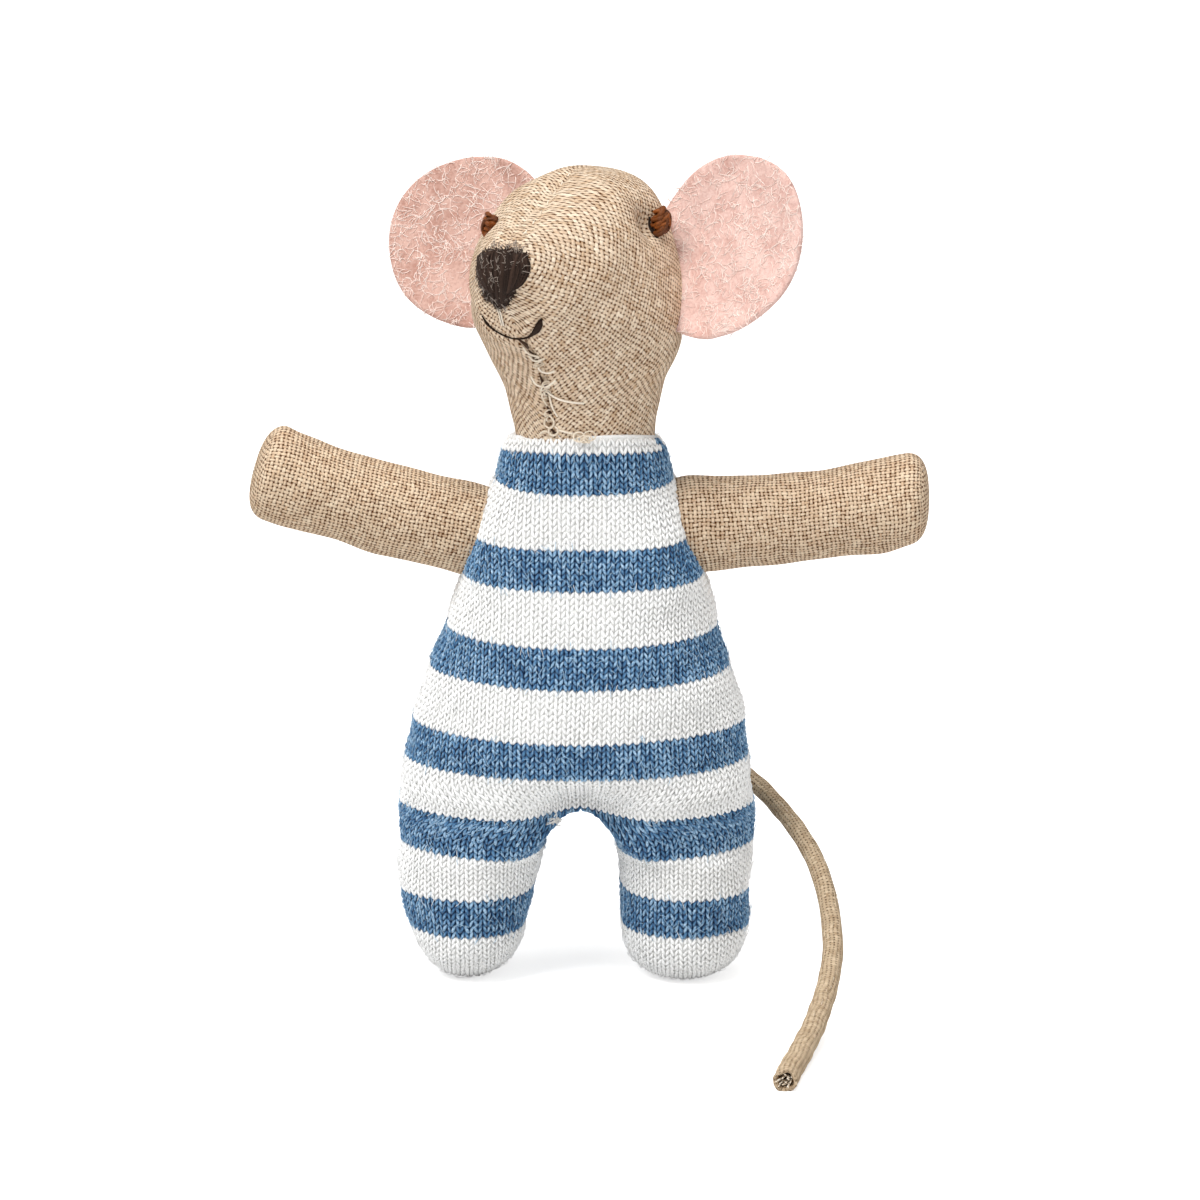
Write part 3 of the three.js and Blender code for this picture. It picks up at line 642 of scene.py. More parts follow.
def suit_panel(side, way, rows):
    """The front (way -1) or back (way 1) of a half: places and widths across, row by row."""
    course, height, middle, centre, outward, inward, depth, back, power = rows
    out_turn = np.linspace(0, math.pi / 2, 41)
    in_turn = np.linspace(0, math.pi / 2, 17)
    bend = (2 / power)[:, None]
    under = 0.62 * (1 - eased(20.3, 25.0, height)) * eased(13.5, 19.0, height)

    def tucked(x, y):
        """The belly turns under between the legs."""
        near = hill(np.abs(x - middle[:, None]), 4.6)
        return back[:, None] + (y - back[:, None]) * (1 - under[:, None] * near)

    x = centre[:, None] + side * outward[:, None] * np.sin(out_turn) ** bend
    y = back[:, None] + way * depth[:, None] * np.cos(out_turn) ** bend
    swell = 0.14 * np.sin(0.5 * height[:, None] + 3 * out_turn + side)
    swell = swell + 0.1 * np.sin(1.1 * height[:, None] - 4 * out_turn)
    x = x + side * swell * np.sin(out_turn) ** 2
    y = y + way * swell * np.sin(2 * out_turn) * 0.7
    outer = np.stack([x, tucked(x, y)], axis=-1)
    run_out = run_lengths(outer)
    rest = run_out[:, -1:] - run_out
    outer[..., 0] -= side * 0.4 * hill(rest, 0.55)
    x = centre[:, None] - side * inward[:, None] * np.sin(in_turn)
    y = tucked(x, back[:, None] + way * depth[:, None] * np.cos(in_turn))
    inner = np.stack([x, y], axis=-1)
    run_in = run_lengths(inner)
    start = np.abs(centre - middle)[:, None]
    across = np.concatenate([(start - run_in)[:, :0:-1], start + run_out], axis=1)
    places = np.concatenate([inner[:, :0:-1], outer], axis=1)
    z = np.repeat(height[:, None], places.shape[1], axis=1)
    front = (BODY_BACK - places[..., 1]) / 8.2
    front = np.where(front < 0, front * 0.3, front)
    z = z + 2.1 * front * np.exp(-(np.maximum(course + 2.5, 0)[:, None] / 4.5) ** 2)
    # Near the crotch the courses dip towards the inner leg
    dip = hill(height - 17.6, 3.2)[:, None]
    inside = eased(-6, 7, start - across + np.minimum(start, 4))
    z = z - 0.9 * dip * inside * eased(0.5, 3.5, np.abs(places[..., 0] - middle[:, None]))
    # Low on the legs they curl up towards the inner leg
    curl = 0.85 * hill(height - 9.0, 3.6)[:, None]
    z = z + curl * hill(across - across[:, :1], 2.6)
    return across, np.dstack([places, z])


def stitches(side, way, rows, panel):
    """The two legs of each stitch of one panel, as small tapered strands."""
    across, places = panel
    first_row = int(round(rows.course[0] * ROWS_A_COURSE))
    centres, normals, blues = [], [], []

    def row_of(course):
        return int(round(course * ROWS_A_COURSE)) - first_row

    def at(course, u):
        row = row_of(course)
        return np.column_stack([np.interp(u, across[row], places[row, :, k]) for k in range(3)])

    top = math.ceil(FIRST_COURSE + 0.5)
    bottom = math.floor(rows.course[-1] - 1.5)
    for number in range(top, bottom):
        rows_here = [row_of(number + part) for part in (-0.25, 0.5, 1.25)]
        height = rows.height[rows_here[1]]
        start = max(across[row, 0] for row in rows_here)
        end = min(across[row, -1] for row in rows_here)
        first_wale = math.ceil((start - 0.35) / WALE)
        if height > CROTCH_TOP - 0.2:
            first_wale = 0
        last_wale = math.floor((end + 0.4) / WALE)
        if last_wale <= first_wale:
            continue
        middle = (np.arange(first_wale, last_wale) + 0.5) * WALE
        blue = any(a <= number < b for a, b in STRIPES)
        ahead = at(number + 0.5, middle + 0.25) - at(number + 0.5, middle - 0.25)
        down = at(number + 0.875, middle) - at(number + 0.125, middle)
        normal = unit(np.cross(ahead, down))
        outward = at(number + 0.5, middle) - np.array([rows.centre[rows_here[1]], BODY_BACK, 0])
        outward[:, 2] = -np.maximum(FOOT_TOP - height, 0)
        normal = normal * np.sign(np.sum(normal * outward, axis=1))[:, None]
        for leg in (-1, 1):
            line = []
            for part, reach in STITCH_LINE:
                place = at(number + 0.5 + 0.75 * part, middle + leg * reach * WALE)
                lift = 0.07 + 0.075 * part - 0.05 * part * part
                line.append(place + normal * lift)
            centres.append(np.stack(line, axis=1))
            normals.append(normal)
            shown = np.full(len(middle), blue)
            # The seam at the neck's right pulls the first stripe up
            if side == 1 and way == -1 and number in (-2, -1):
                shown[number - 1:] = True
            blues.append(shown)
    return np.concatenate(centres), np.concatenate(normals), np.concatenate(blues)


def stitch_forms(lines, normals):
    """Strands of five round each, from their middle lines."""
    count = len(lines)
    shift = chance.normal(0, 0.018, (count, 1, 3))
    lines = lines + shift + chance.normal(0, 0.01, (count, 5, 3))
    ahead = unit(np.gradient(lines, axis=1))
    side = unit(np.cross(normals[:, None, :], ahead))
    over = np.cross(ahead, side)
    wide = np.array([0.14, 0.175, 0.15])
    tall = np.array([0.13, 0.165, 0.14])
    bulk = chance.uniform(0.88, 1.14, (count, 1, 1, 1))
    turn = turns(5) + math.pi / 2
    rings = (side[:, 1:4, None, :] * np.cos(turn)[None, None, :, None] * wide[None, :, None, None]
             + over[:, 1:4, None, :] * np.sin(turn)[None, None, :, None] * tall[None, :, None, None])
    rings = lines[:, 1:4, None, :] + rings * bulk
    points = np.concatenate([lines[:, :1], rings.reshape(count, 15, 3), lines[:, 4:]], axis=1)
    j = np.arange(5)
    after = (j + 1) % 5
    quads = np.vstack([
        np.column_stack([1 + base + j, 1 + base + after, 6 + base + after, 6 + base + j]) for base in (0, 5)
    ])
    caps = np.vstack([
        np.column_stack([np.zeros(5, int), 1 + after, 1 + j]),
        np.column_stack([np.full(5, 16), 11 + j, 11 + after]),
    ])
    offset = (np.arange(count) * 17)[:, None, None]
    # Lift for the colour: full on top of each strand, low at its sides, its underside and its tucked ends,
    # which the knit's colour turns into painted shade.
    round_it = np.array([1.0, 0.6, 0.1, 0.1, 0.6])
    lift = np.tile(np.concatenate([[0.2], 0.8 * round_it, 1.1 * round_it, 0.95 * round_it, [0.45]]), count)
    return points.reshape(-1, 3), quads[None] + offset, caps[None] + offset, lift


def fluff(lines, normals, blues):
    """Short loose fibres over the stitches."""
    count = 2600
    picked = chance.integers(0, len(lines), count)
    start = lines[picked, 2] + normals[picked] * 0.17
    ahead = unit(lines[picked, 4] - lines[picked, 0])
    ahead = ahead * chance.choice([-1, 1], (count, 1)) + chance.normal(0, 0.45, (count, 3))
    ahead = unit(ahead - normals[picked] * np.sum(ahead * normals[picked], axis=1, keepdims=True))
    side = np.cross(normals[picked], ahead)
    length = chance.uniform(0.5, 1.3, (count, 1))
    bend = chance.uniform(-0.35, 0.35, (count, 1))
    points, quads = [], []
    for part, rise in ((0, -0.06), (0.33, 0.06), (0.66, 0.09), (1, 0.02)):
        middle = start + ahead * length * part + side * bend * part * part + normals[picked] * rise
        for turn in (0.5, 2.6, 4.7):
            points.append(middle + (side * math.cos(turn) + normals[picked] * math.sin(turn)) * 0.027)
    points = np.stack(points, axis=1)
    for row in range(3):
        for k in range(3):
            a, b = row * 3 + k, row * 3 + (k + 1) % 3
            quads.append([a, b, b + 3, a + 3])
    caps = [[0, 2, 1], [9, 10, 11]]
    offset = (np.arange(count) * 12)[:, None, None]
    points[..., 2] = np.maximum(points[..., 2], 0.03)
    quads = (np.array(quads)[None] + offset).reshape(-1, 4)
    caps = (np.array(caps)[None] + offset).reshape(-1, 3)
    return points.reshape(-1, 3), quads, caps, blues[picked]


def make_suit_half(side, name):
    rows = suit_rows(side)
    front = suit_panel(side, -1, rows)
    behind = suit_panel(side, 1, rows)
    # The cloth under the stitches, a little inside them, with the collar's edge rolled in
    chosen = np.arange(0, len(rows.course), 4)
    loop = np.concatenate([front[1][chosen], behind[1][chosen][:, -2:0:-1]], axis=1)
    centre = np.column_stack([rows.centre, rows.back, rows.height])[chosen][:, None, :]
    inside = loop - centre
    inside[..., 2] = 0
    length = np.linalg.norm(inside, axis=-1, keepdims=True)
    loop = loop - inside / np.maximum(length, 1e-6) * np.minimum(0.09, length * 0.5)
    rim = []
    hub = np.array([rows.middle[0], BODY_BACK, 0])
    for drop, narrow in COLLAR_ROLL:
        ring = loop[0].copy()
        reach = ring - hub
        reach[:, 2] = 0
        size = np.maximum(np.linalg.norm(reach, axis=1, keepdims=True), 1e-6)
        ring = ring - reach / size * np.minimum(narrow, size * 0.9)
        ring[:, 2] -= drop
        rim.append(ring)
    loop = np.concatenate([np.array(rim), loop])
    rings, sides = loop.shape[:2]
    sole = loop[-1].mean(axis=0)
    sole[2] = max(loop[-1][:, 2].min() - 0.05, 0)
    points = np.vstack([loop.reshape(-1, 3), loop[0].mean(axis=0), sole])
    quads, caps, _ = turned_out(points, grid_faces(rings, sides), end_caps(rings, sides))
    line_course = np.concatenate([np.full(len(rim), -3.0), rows.course[chosen]])
    row_blue = np.array([any(a <= v + 0.25 < b for a, b in STRIPES) for v in line_course[:-1]], int)
    # The cloth under the stitches has no lift, so it takes the knit's darkest colour, painted shade between
    # the stitches; where they leave gaps, at the side seam and in the collar, it is as pale as they are
    cloth_shade_lift = np.zeros((rings, sides))
    cloth_shade_lift[:, 53:60] = 0.55
    cloth_shade_lift[:6] = 0.9
    # The stitches, and the fluff over them
    drawn = [stitches(side, way, rows, panel) for way, panel in ((-1, front), (1, behind))]
    lines, normals, blues = (np.concatenate(parts) for parts in zip(*drawn))
    blues = blues.astype(int)
    form, sheaths, ends, lift = stitch_forms(lines, normals)
    form[:, 2] = np.maximum(form[:, 2], 0.02)
    points[:, 2] = np.maximum(points[:, 2], 0.02)
    tone = np.repeat(chance.random(len(lines)), 17)
    hairs, hair_quads, hair_caps, hair_blue = fluff(lines, normals, blues)
    start = len(points)
    after_form = start + len(form)
    blocks = [
        (hair_quads + after_form, np.repeat(hair_blue, 9), None),
        (hair_caps + after_form, np.repeat(hair_blue, 2), None),
        (quads, np.repeat(row_blue, sides), None),
        (caps, 0, None),
        ((sheaths + start).reshape(-1, 4), np.repeat(blues, 10), None),
        ((ends + start).reshape(-1, 3), np.repeat(blues, 10), None),
    ]
    values = {
        "lift": np.concatenate([cloth_shade_lift.ravel(), [0.0, 0.0], lift, np.full(len(hairs), 1.15)]),
        "tone": np.concatenate([np.full(start, 0.4), tone, np.full(len(hairs), 1.0)]),
    }
    piece = make_piece(name, np.vstack([points, form, hairs]), blocks, [WHITE_KNIT, BLUE_KNIT], values)
    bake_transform(piece)
    return piece


suit_left = make_suit_half(-1, "suit_left")
suit_right = make_suit_half(1, "suit_right")
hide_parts("suit_body_front", "suit_body_back", "body_filling",
            "leg_front_left", "leg_back_left", "leg_filling_left")
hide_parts("leg_front_right", "leg_back_right", "leg_filling_right")


# Head: two linen panels with a seam down the middle, stuffed firm

HEAD_TURN = math.radians(27)
HEAD_ROLL = math.radians(3)
HEAD_HIGH = 29.0
ROLL_PIVOT = 0.54 * HEAD_HIGH
SNOUT_REACH = 19.3
HEAD_WIDE = 11.7
HEAD_HUB = np.array([BODY_SIDE + 0.4, BODY_BACK, COLLAR_TOP + 0.3])
HEAD_THREAD = 0.47
HEAD_GRAIN = math.radians(33)
# Keeps the threads' numbers on a map well above nought
MAP_START = 400
# The face's lower point, the crown's point, half width, and how square the section is
HEAD_ROWS = [
    [0.40, -0.11, -0.40, -0.11, 0.615, 2],
    [0.405, -0.05, -0.405, -0.05, 0.62, 2],
    [0.41, 0, -0.41, 0, 0.63, 2],
    [0.435, 0.08, -0.415, 0.09, 0.662, 2],
    [0.48, 0.18, -0.44, 0.205, 0.722, 2],
    [0.545, 0.285, -0.5, 0.37, 0.872, 2],
    [0.63, 0.37, -0.545, 0.545, 0.935, 2.02],
    [0.725, 0.44, -0.496, 0.723, 0.894, 2.23],
    [0.81, 0.5, -0.356, 0.929, 0.797, 2.25],
    [0.865, 0.55, 0, 0.992, 0.688, 2.22],
    [0.91, 0.6, 0.35, 0.95, 0.52, 2.2],
    [0.95, 0.65, 0.64, 0.9, 0.38, 2],
    [0.975, 0.69, 0.84, 0.865, 0.255, 2],
    [0.99, 0.735, 0.945, 0.82, 0.13, 2],
]


def head_place(points):
    """From the head's own place to where it stands, rolled and turned."""
    points = np.asarray(points, float)
    roll = HEAD_ROLL * eased(0.05 * HEAD_HIGH, 0.47 * HEAD_HIGH, points[..., 2])
    x = points[..., 0]
    z = points[..., 2] - ROLL_PIVOT
    leant_x = x * np.cos(roll) - z * np.sin(roll)
    leant_z = ROLL_PIVOT + x * np.sin(roll) + z * np.cos(roll)
    c, s = math.cos(-HEAD_TURN), math.sin(-HEAD_TURN)
    y = points[..., 1]
    return np.stack([leant_x * c - y * s, leant_x * s + y * c, leant_z], axis=-1) + HEAD_HUB


def head_grid():
    """The head's rings in its own place, with their middles and the way up each ring."""
    rows = rows_between(HEAD_ROWS, 176)
    middle = np.zeros(len(rows))
    low = np.column_stack([middle, -rows[:, 0] * SNOUT_REACH, rows[:, 1] * HEAD_HIGH])
    crown = np.column_stack([middle, -rows[:, 2] * SNOUT_REACH, rows[:, 3] * HEAD_HIGH])
    centre = (low + crown) / 2
    along = (crown - low) / 2
    wide = rows[:, 4] * HEAD_WIDE
    turn = turns(208)
    bend = (2 / rows[:, 5])[:, None]
    c = np.sign(np.cos(turn)) * np.abs(np.cos(turn)) ** bend
    s = np.sign(np.sin(turn)) * np.abs(np.sin(turn)) ** bend
    points = centre[:, None, :] + along[:, None, :] * s[..., None]
    points[..., 0] += wide[:, None] * c
    return points, centre, unit(along)


def grid_normals(points):
    around = np.roll(points, -1, axis=1) - np.roll(points, 1, axis=1)
    onward = np.gradient(points, axis=0)
    return unit(np.cross(around, onward))


def surface(points, *blocks):
    """A form that a line of sight can be tried on."""
    faces = [tuple(int(corner) for corner in face) for block in blocks for face in block]
    return BVHTree.FromPolygons([tuple(point) for point in points], faces)


def seen_on(tree, column, row):
    """The point of a surface that shows at a pixel of the picture."""
    x = (column - MIDDLE_COLUMN) * PIXEL
    up = (FLOOR_ROW - row) * PIXEL
    look = Vector((0, math.cos(CAMERA_TILT), -math.sin(CAMERA_TILT)))
    raised = Vector((0, math.sin(CAMERA_TILT), math.cos(CAMERA_TILT)))
    start = Vector((x, BODY_BACK, 0)) + raised * up - look * 200
    place, normal, _, _ = tree.ray_cast(start, look)
    if place is None:
        return None, None
    return np.array(place), np.array(normal)


def seen_line(tree, pixels, count):
    """A smooth line on a surface through some pixels, and the way that the surface faces along it."""
    places = [seen_on(tree, column, row) for column, row in pixels]
    points = np.array([place for place, _ in places if place is not None])
    normals = np.array([normal for place, normal in places if place is not None])
    share = np.linspace(0, len(normals) - 1, count)
    parts = [np.interp(share, np.arange(len(normals)), normals[:, k]) for k in range(3)]
    return smooth_path(points, count), unit(np.column_stack(parts))


def to_line(points, line):
    """Distance from each point to a line of points."""
    flat = points.reshape(-1, 3)
    best = np.full(len(flat), 1e9)
    for spot in line:
        best = np.minimum(best, np.linalg.norm(flat - spot, axis=1))
    return best.reshape(points.shape[:-1])


EYE_RIGHT = (653, 224)
EYE_LEFT = (493.5, 230)
MOUTH = [(483, 318), (489, 327), (498, 334), (508, 339), (518, 341), (527, 340), (534, 336), (539, 329),
         (542, 322)]

CHIN_SEAM = [(522, 342), (529, 351), (538, 363), (543, 375), (546, 388), (547, 402), (549, 418), (551, 434)]
# Where the pale thread crosses the chin's seam, and where the seam gapes and its shadow is painted
CHIN_THREADS = [
    [(524, 348), (529, 353), (535, 356), (540, 358)],
    [(530, 357), (534, 360), (539, 361), (543, 360)],
    [(538, 366), (542, 371), (548, 373), (555, 372)],
    [(532, 377), (537, 384), (546, 387), (556, 381)],
    [(547, 392), (557, 398), (571, 402), (584, 404)],
    [(550, 396), (553, 406), (558, 417)],
    [(541, 389), (544, 398), (548, 406)],
    [(546, 414), (552, 417), (555, 422), (551, 428), (546, 425), (546, 419)],
    [(555, 426), (559, 430), (556, 435), (551, 434), (550, 429), (554, 426)],
    [(558, 430), (567, 432), (576, 434), (583, 436)],
    [(541, 434), (547, 431), (552, 434)],
]
CHIN_GAPS = [
    [(518, 341), (524, 345), (529, 351)],
    [(529, 352), (535, 359), (541, 366)],
    [(540, 376), (544, 386), (548, 398)],
    [(547, 407), (550, 413), (553, 419)],
    [(551, 429), (554, 432), (557, 433)],
]
TOP_SEAM = [(520, 245), (527, 235), (537, 222), (549, 204), (562, 186), (573, 172)]


def make_head():
    own, centre, ahead = head_grid()
    rings, sides = own.shape[:2]
    world = head_place(own)
    normals = grid_normals(world)
    if np.sum(normals * (world - world.mean(axis=(0, 1)))) < 0:
        normals = -normals
    quads = grid_faces(rings, sides)
    plain = surface(world.reshape(-1, 3), quads)
    # The eyes are drawn in, each in its own hollow
    push = np.zeros(world.shape[:2])
    eye, _ = seen_on(plain, EYE_RIGHT[0] - 1, EYE_RIGHT[1] + 1)
    near = np.linalg.norm(world - eye, axis=-1)
    push -= 1.5 * hill(near, 1.7) + 0.5 * hill(near, 3.6)
    left, _ = seen_on(plain, *EYE_LEFT)
    left = left + np.array([0.0, 1.8, -0.5])
    push -= 0.35 * hill(np.linalg.norm(world - left, axis=-1), 1.5)
    # Mouth and seams: how deep and wide each furrow is, and how high, far off and wide its ridges are
    for pixels, depth, width, rise, off, spread in (
        (MOUTH, 0.42, 0.3, 0.2, 1.0, 0.6),
        (CHIN_SEAM, 0.55, 0.4, 0.16, 1.0, 0.5),
        (TOP_SEAM, 0.16, 0.3, 0.06, 0.7, 0.4),
    ):
        seam, _ = seen_line(plain, pixels, 60)
        away = to_line(world, seam)
        push += -depth * hill(away, width) + rise * hill(away - off, spread)
    x, y, z = (world[..., k] for k in range(3))
    push += 0.1 * np.sin(0.8 * x + 0.5 * z) * np.sin(0.6 * y - 0.4 * z)
    world = world + normals * push[..., None]
    # The weave lies flat on each side panel: its map is that panel laid out flat
    quarter = sides // 4
    maps = []
    for start, way in ((0, 1), (2 * quarter, -1)):
        order = (np.arange(-quarter, quarter + 1) * way + start) % sides
        run = run_lengths(own[:, order])
        run = run - run[:, quarter:quarter + 1]
        panel = np.zeros((rings, sides, 2))
        panel[:, order] = centre[:, None, 1:] + ahead[:, None, 1:] * run[..., None]
        maps.append(corner_values(panel))
    on_right = ((np.arange(sides) + quarter) % sides) < 2 * quarter
    uv = np.where(on_right[None, :, None, None], *maps)
    c, s = math.cos(HEAD_GRAIN), math.sin(HEAD_GRAIN)
    uv = np.stack([uv[..., 0] * c - uv[..., 1] * s, uv[..., 0] * s + uv[..., 1] * c], axis=-1)
    uv = (uv / HEAD_THREAD + MAP_START).reshape(-1, 4, 2)
    points = np.vstack([world.reshape(-1, 3), world[0].mean(axis=0), world[-1].mean(axis=0)])
    quads, caps, uv = turned_out(points, quads, end_caps(rings, sides), uv)
    cover = make_piece("head_cover", points, [(quads, 0, uv), (caps, 0, None)], [HEAD_LINEN])
    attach(cover, "head")
    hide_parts("head_cover_left", "head_cover_right", "head_filling")
    return surface(points, quads, caps), plain, left


head_skin, head_plain, left_eye_place = make_head()


def on_head(piece):
    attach(piece, "head")


def make_eye(name, node, place, outward, size):
    """A knot of brown thread: uneven turns wound over each other."""
    outward = unit(outward)
    side = unit(np.cross([0.0, 0.0, 1.0], outward))
    up = np.cross(outward, side)
    strands = []
    for k in range(6):
        tip = (k - 2.5) * 0.4 * size
        wide = 0.78 * size * math.sqrt(1 - ((k - 2.6) / 3.6) ** 2)
        turn = np.linspace(0, FULL_TURN, 36)
        phase = chance.uniform(0, 6)
        uneven = 1 + 0.14 * np.sin(2 * turn + phase) + 0.07 * np.sin(5 * turn + phase)
        lean = chance.uniform(0.15, 0.5)
        shift = chance.uniform(-0.12, 0.12)
        loop = (side[None] * (np.cos(turn) * wide * uneven + shift)[:, None]
                + outward[None] * (np.sin(turn) * wide * uneven + 0.1)[:, None]
                + up[None] * (tip + lean * np.sin(turn + 0.6))[:, None])
        strands.append((place + loop, 0.25 * size * (1 + 0.18 * np.sin(3 * turn + phase))))
    turn = np.linspace(-0.5, math.pi + 0.3, 26)
    for shift, lean in ((-0.35, 0.5), (0.2, -0.35), (0.45, 0.3)):
        over = (outward[None] * (np.sin(turn) * 1.02 * size)[:, None]
                + up[None] * (np.cos(turn) * 1.2 * size)[:, None]
                + side[None] * (shift * size + lean * size * np.cos(turn))[:, None])
        strands.append((place + over, 0.2 * size * (1 + 0.2 * np.sin(4 * turn + shift * 9))))
    knot = strands_piece(name, strands, BROWN_THREAD, 9)
    on_head(knot)
    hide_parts(node)


eye_place, _ = seen_on(head_skin, *EYE_RIGHT)
right_out = unit(np.array([0.9, -0.42, 0.12]))
make_eye("eye_right_knot", "eye_right", eye_place + right_out * 0.75, right_out, 1.0)
# A dark strand in the crease at the eye's left side: painted shadow.
painted_shadow_line, _ = seen_line(head_skin, [(649, 219), (649, 226), (652, 233), (657, 239)], 16)
crease = strands_piece("eye_right_painted_shadow", [(painted_shadow_line, np.linspace(0.12, 0.3, 16))], DARK_THREAD, 7)
on_head(crease)
left_out = unit(np.array([-0.95, 0.1, 0.12]))
make_eye("eye_left_knot", "eye_left", left_eye_place + left_out * 0.1, left_out, 0.95)


NOSE_OUTLINE = [
    (483.5, 256.8), (490, 253.4), (499.5, 252.6), (507.5, 252.4), (517, 253.4), (524, 255.8), (528.5, 258.8),
    (529.5, 264), (528, 271.5), (525.3, 278.7), (521, 286.7), (516.5, 294.7), (513.2, 301.8), (509, 308),
    (503, 312), (497.5, 310.5), (493, 307), (488.8, 303), (485.2, 298), (482, 291.5), (479.8, 284.7),
    (478.9, 277.7), (479.2, 269.6), (480.5, 261.6),
]
NOSE_HUB = (503.0, 277.0)
NOSE_SIDES = 96
NOSE_RINGS = 22
NOSE_HEIGHT = 1.2


def make_nose():
    """A padded patch of dark wool: a low dome under gathered stitches, with loose hairs."""
    outline = np.array(NOSE_OUTLINE, float)
    rim = rows_between(np.vstack([outline, outline[:1]]), NOSE_SIDES + 1)[:-1]
    hub = np.array(NOSE_HUB)
    _, facing = seen_on(head_skin, 503, 279)
    angles = np.arctan2(rim[:, 1] - hub[1], rim[:, 0] - hub[0])
    reaches = np.hypot(rim[:, 1] - hub[1], rim[:, 0] - hub[0])
    order = np.argsort(angles)

    def on_dome(column, row, raised=0.0):
        """The place on the dome, or over it, that shows at a pixel."""
        angle = math.atan2(row - hub[1], column - hub[0])
        edge = np.interp(angle, angles[order], reaches[order], period=FULL_TURN)
        share = min(math.hypot(column - hub[0], row - hub[1]) / edge, 1.0)
        place, _ = seen_on(head_skin, column, row)
        if place is None:
            return None
        return place + facing * (NOSE_HEIGHT * math.sqrt(1 - share ** 2.2) - 0.12 + raised)

    def found(places):
        return all(place is not None for place in places)

    shares = np.linspace(0.04, 1, NOSE_RINGS)
    grid = np.array([[on_dome(*(hub + (spot - hub) * share)) for spot in rim] for share in shares])
    grid = np.concatenate([grid, grid[-1:] - facing * 0.7])
    points = np.vstack([grid.reshape(-1, 3), grid[0].mean(axis=0), grid[-1].mean(axis=0) - facing * 0.3])
    quads, caps, _ = turned_out(points, grid_faces(len(grid), NOSE_SIDES), end_caps(len(grid), NOSE_SIDES))
    dome = make_piece("nose_pad", points, [(quads, 0, None), (caps, 0, None)], [DARK_WOOL],
                      {"tone": np.full(len(points), 0.15)})
    strands = []
    for _ in range(72):
        u = chance.uniform(-1, 1)
        sway = chance.uniform(-3, 3)
        raised = chance.uniform(-0.08, 0.14)
        line = []
        for share in np.linspace(chance.uniform(0.0, 0.12), chance.uniform(0.8, 1.0), 14):
            column = 503.5 + u * (24.5 - 16 * share ** 2.2) + sway * math.sin(3.1 * share)
            row = 254.5 + 6 * abs(u) ** 3 + share * (55.5 - 12 * abs(u) - 8 * abs(u) ** 3)
            line.append(on_dome(column, row, raised))
        line = [place for place in line if place is not None]
        if len(line) > 6:
            strands.append((smooth_path(line, 18), np.full(18, chance.uniform(0.1, 0.22))))
    # Short dark wool stands out all round the edge, and a few pale hairs above it
    for _ in range(150):
        edge = rim[chance.integers(0, NOSE_SIDES)]
        ahead = (edge - hub) / np.hypot(*(edge - hub))
        sway = np.array([-ahead[1], ahead[0]]) * chance.normal(0, 2.2)
        start = on_dome(*(edge - ahead * 4.0), 0.05)
        middle = on_dome(*(edge + sway * 0.4), chance.uniform(0.2, 0.3))
        end = on_dome(*(edge + ahead * chance.uniform(0.3, 2.6) + sway), chance.uniform(0.16, 0.3))
        if found([start, middle, end]):
            strands.append(hair([start, middle, end], 7, 0.085, 0.03))
    hairs = []
    for _ in range(26):
        start = np.array([chance.uniform(490, 522), chance.uniform(248, 254)])
        end = start + np.array([chance.normal(0, 4), chance.uniform(-7, -2)])
        line = [on_dome(*start, 0.2), on_dome(*((start + end) / 2), 0.3), on_dome(*end, 0.16)]
        if found(line):
            hairs.append(hair(line, 7, 0.04, 0.02))
    for _ in range(150):
        spot = hub + (rim[chance.integers(0, NOSE_SIDES)] - hub) * math.sqrt(chance.random()) * 0.97
        start = on_dome(spot[0], spot[1], 0.12)
        heading = np.array([chance.normal(0, 5), chance.uniform(-9, 9)])
        end = on_dome(*(spot + heading), chance.uniform(0.12, 0.42))
        if found([start, end]):
            middle = (start + end) / 2 + facing * chance.uniform(0.05, 0.2)
            hairs.append(hair([start, middle, end], 7, 0.034, 0.018))
    wool = strands_piece("nose_stitches", strands, DARK_WOOL, 7)
    fuzz = strands_piece("nose_hairs", hairs, GREY_WOOL, 4)
    on_head(dome)
    on_head(wool)
    on_head(fuzz)
    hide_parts("nose")


make_nose()


# How thick the mouth's thread is along the mouth
MOUTH_AT = [0, 0.1, 0.2, 0.6, 0.74, 0.84, 0.95, 1]
MOUTH_THICK = [0.06, 0.15, 0.08, 0.1, 0.2, 0.48, 0.46, 0.15]
LIP_STITCH = [(500, 311), (502, 318), (504, 327)]
SPECK = (524, 239)
LOOP_SIZE = 0.7


def front_line(pixels, count):
    """A line on the head without its furrows, with directions that look to the front."""
    line, facing = seen_line(head_plain, pixels, count)
    return line, facing * np.sign(-facing[:, 1:2])


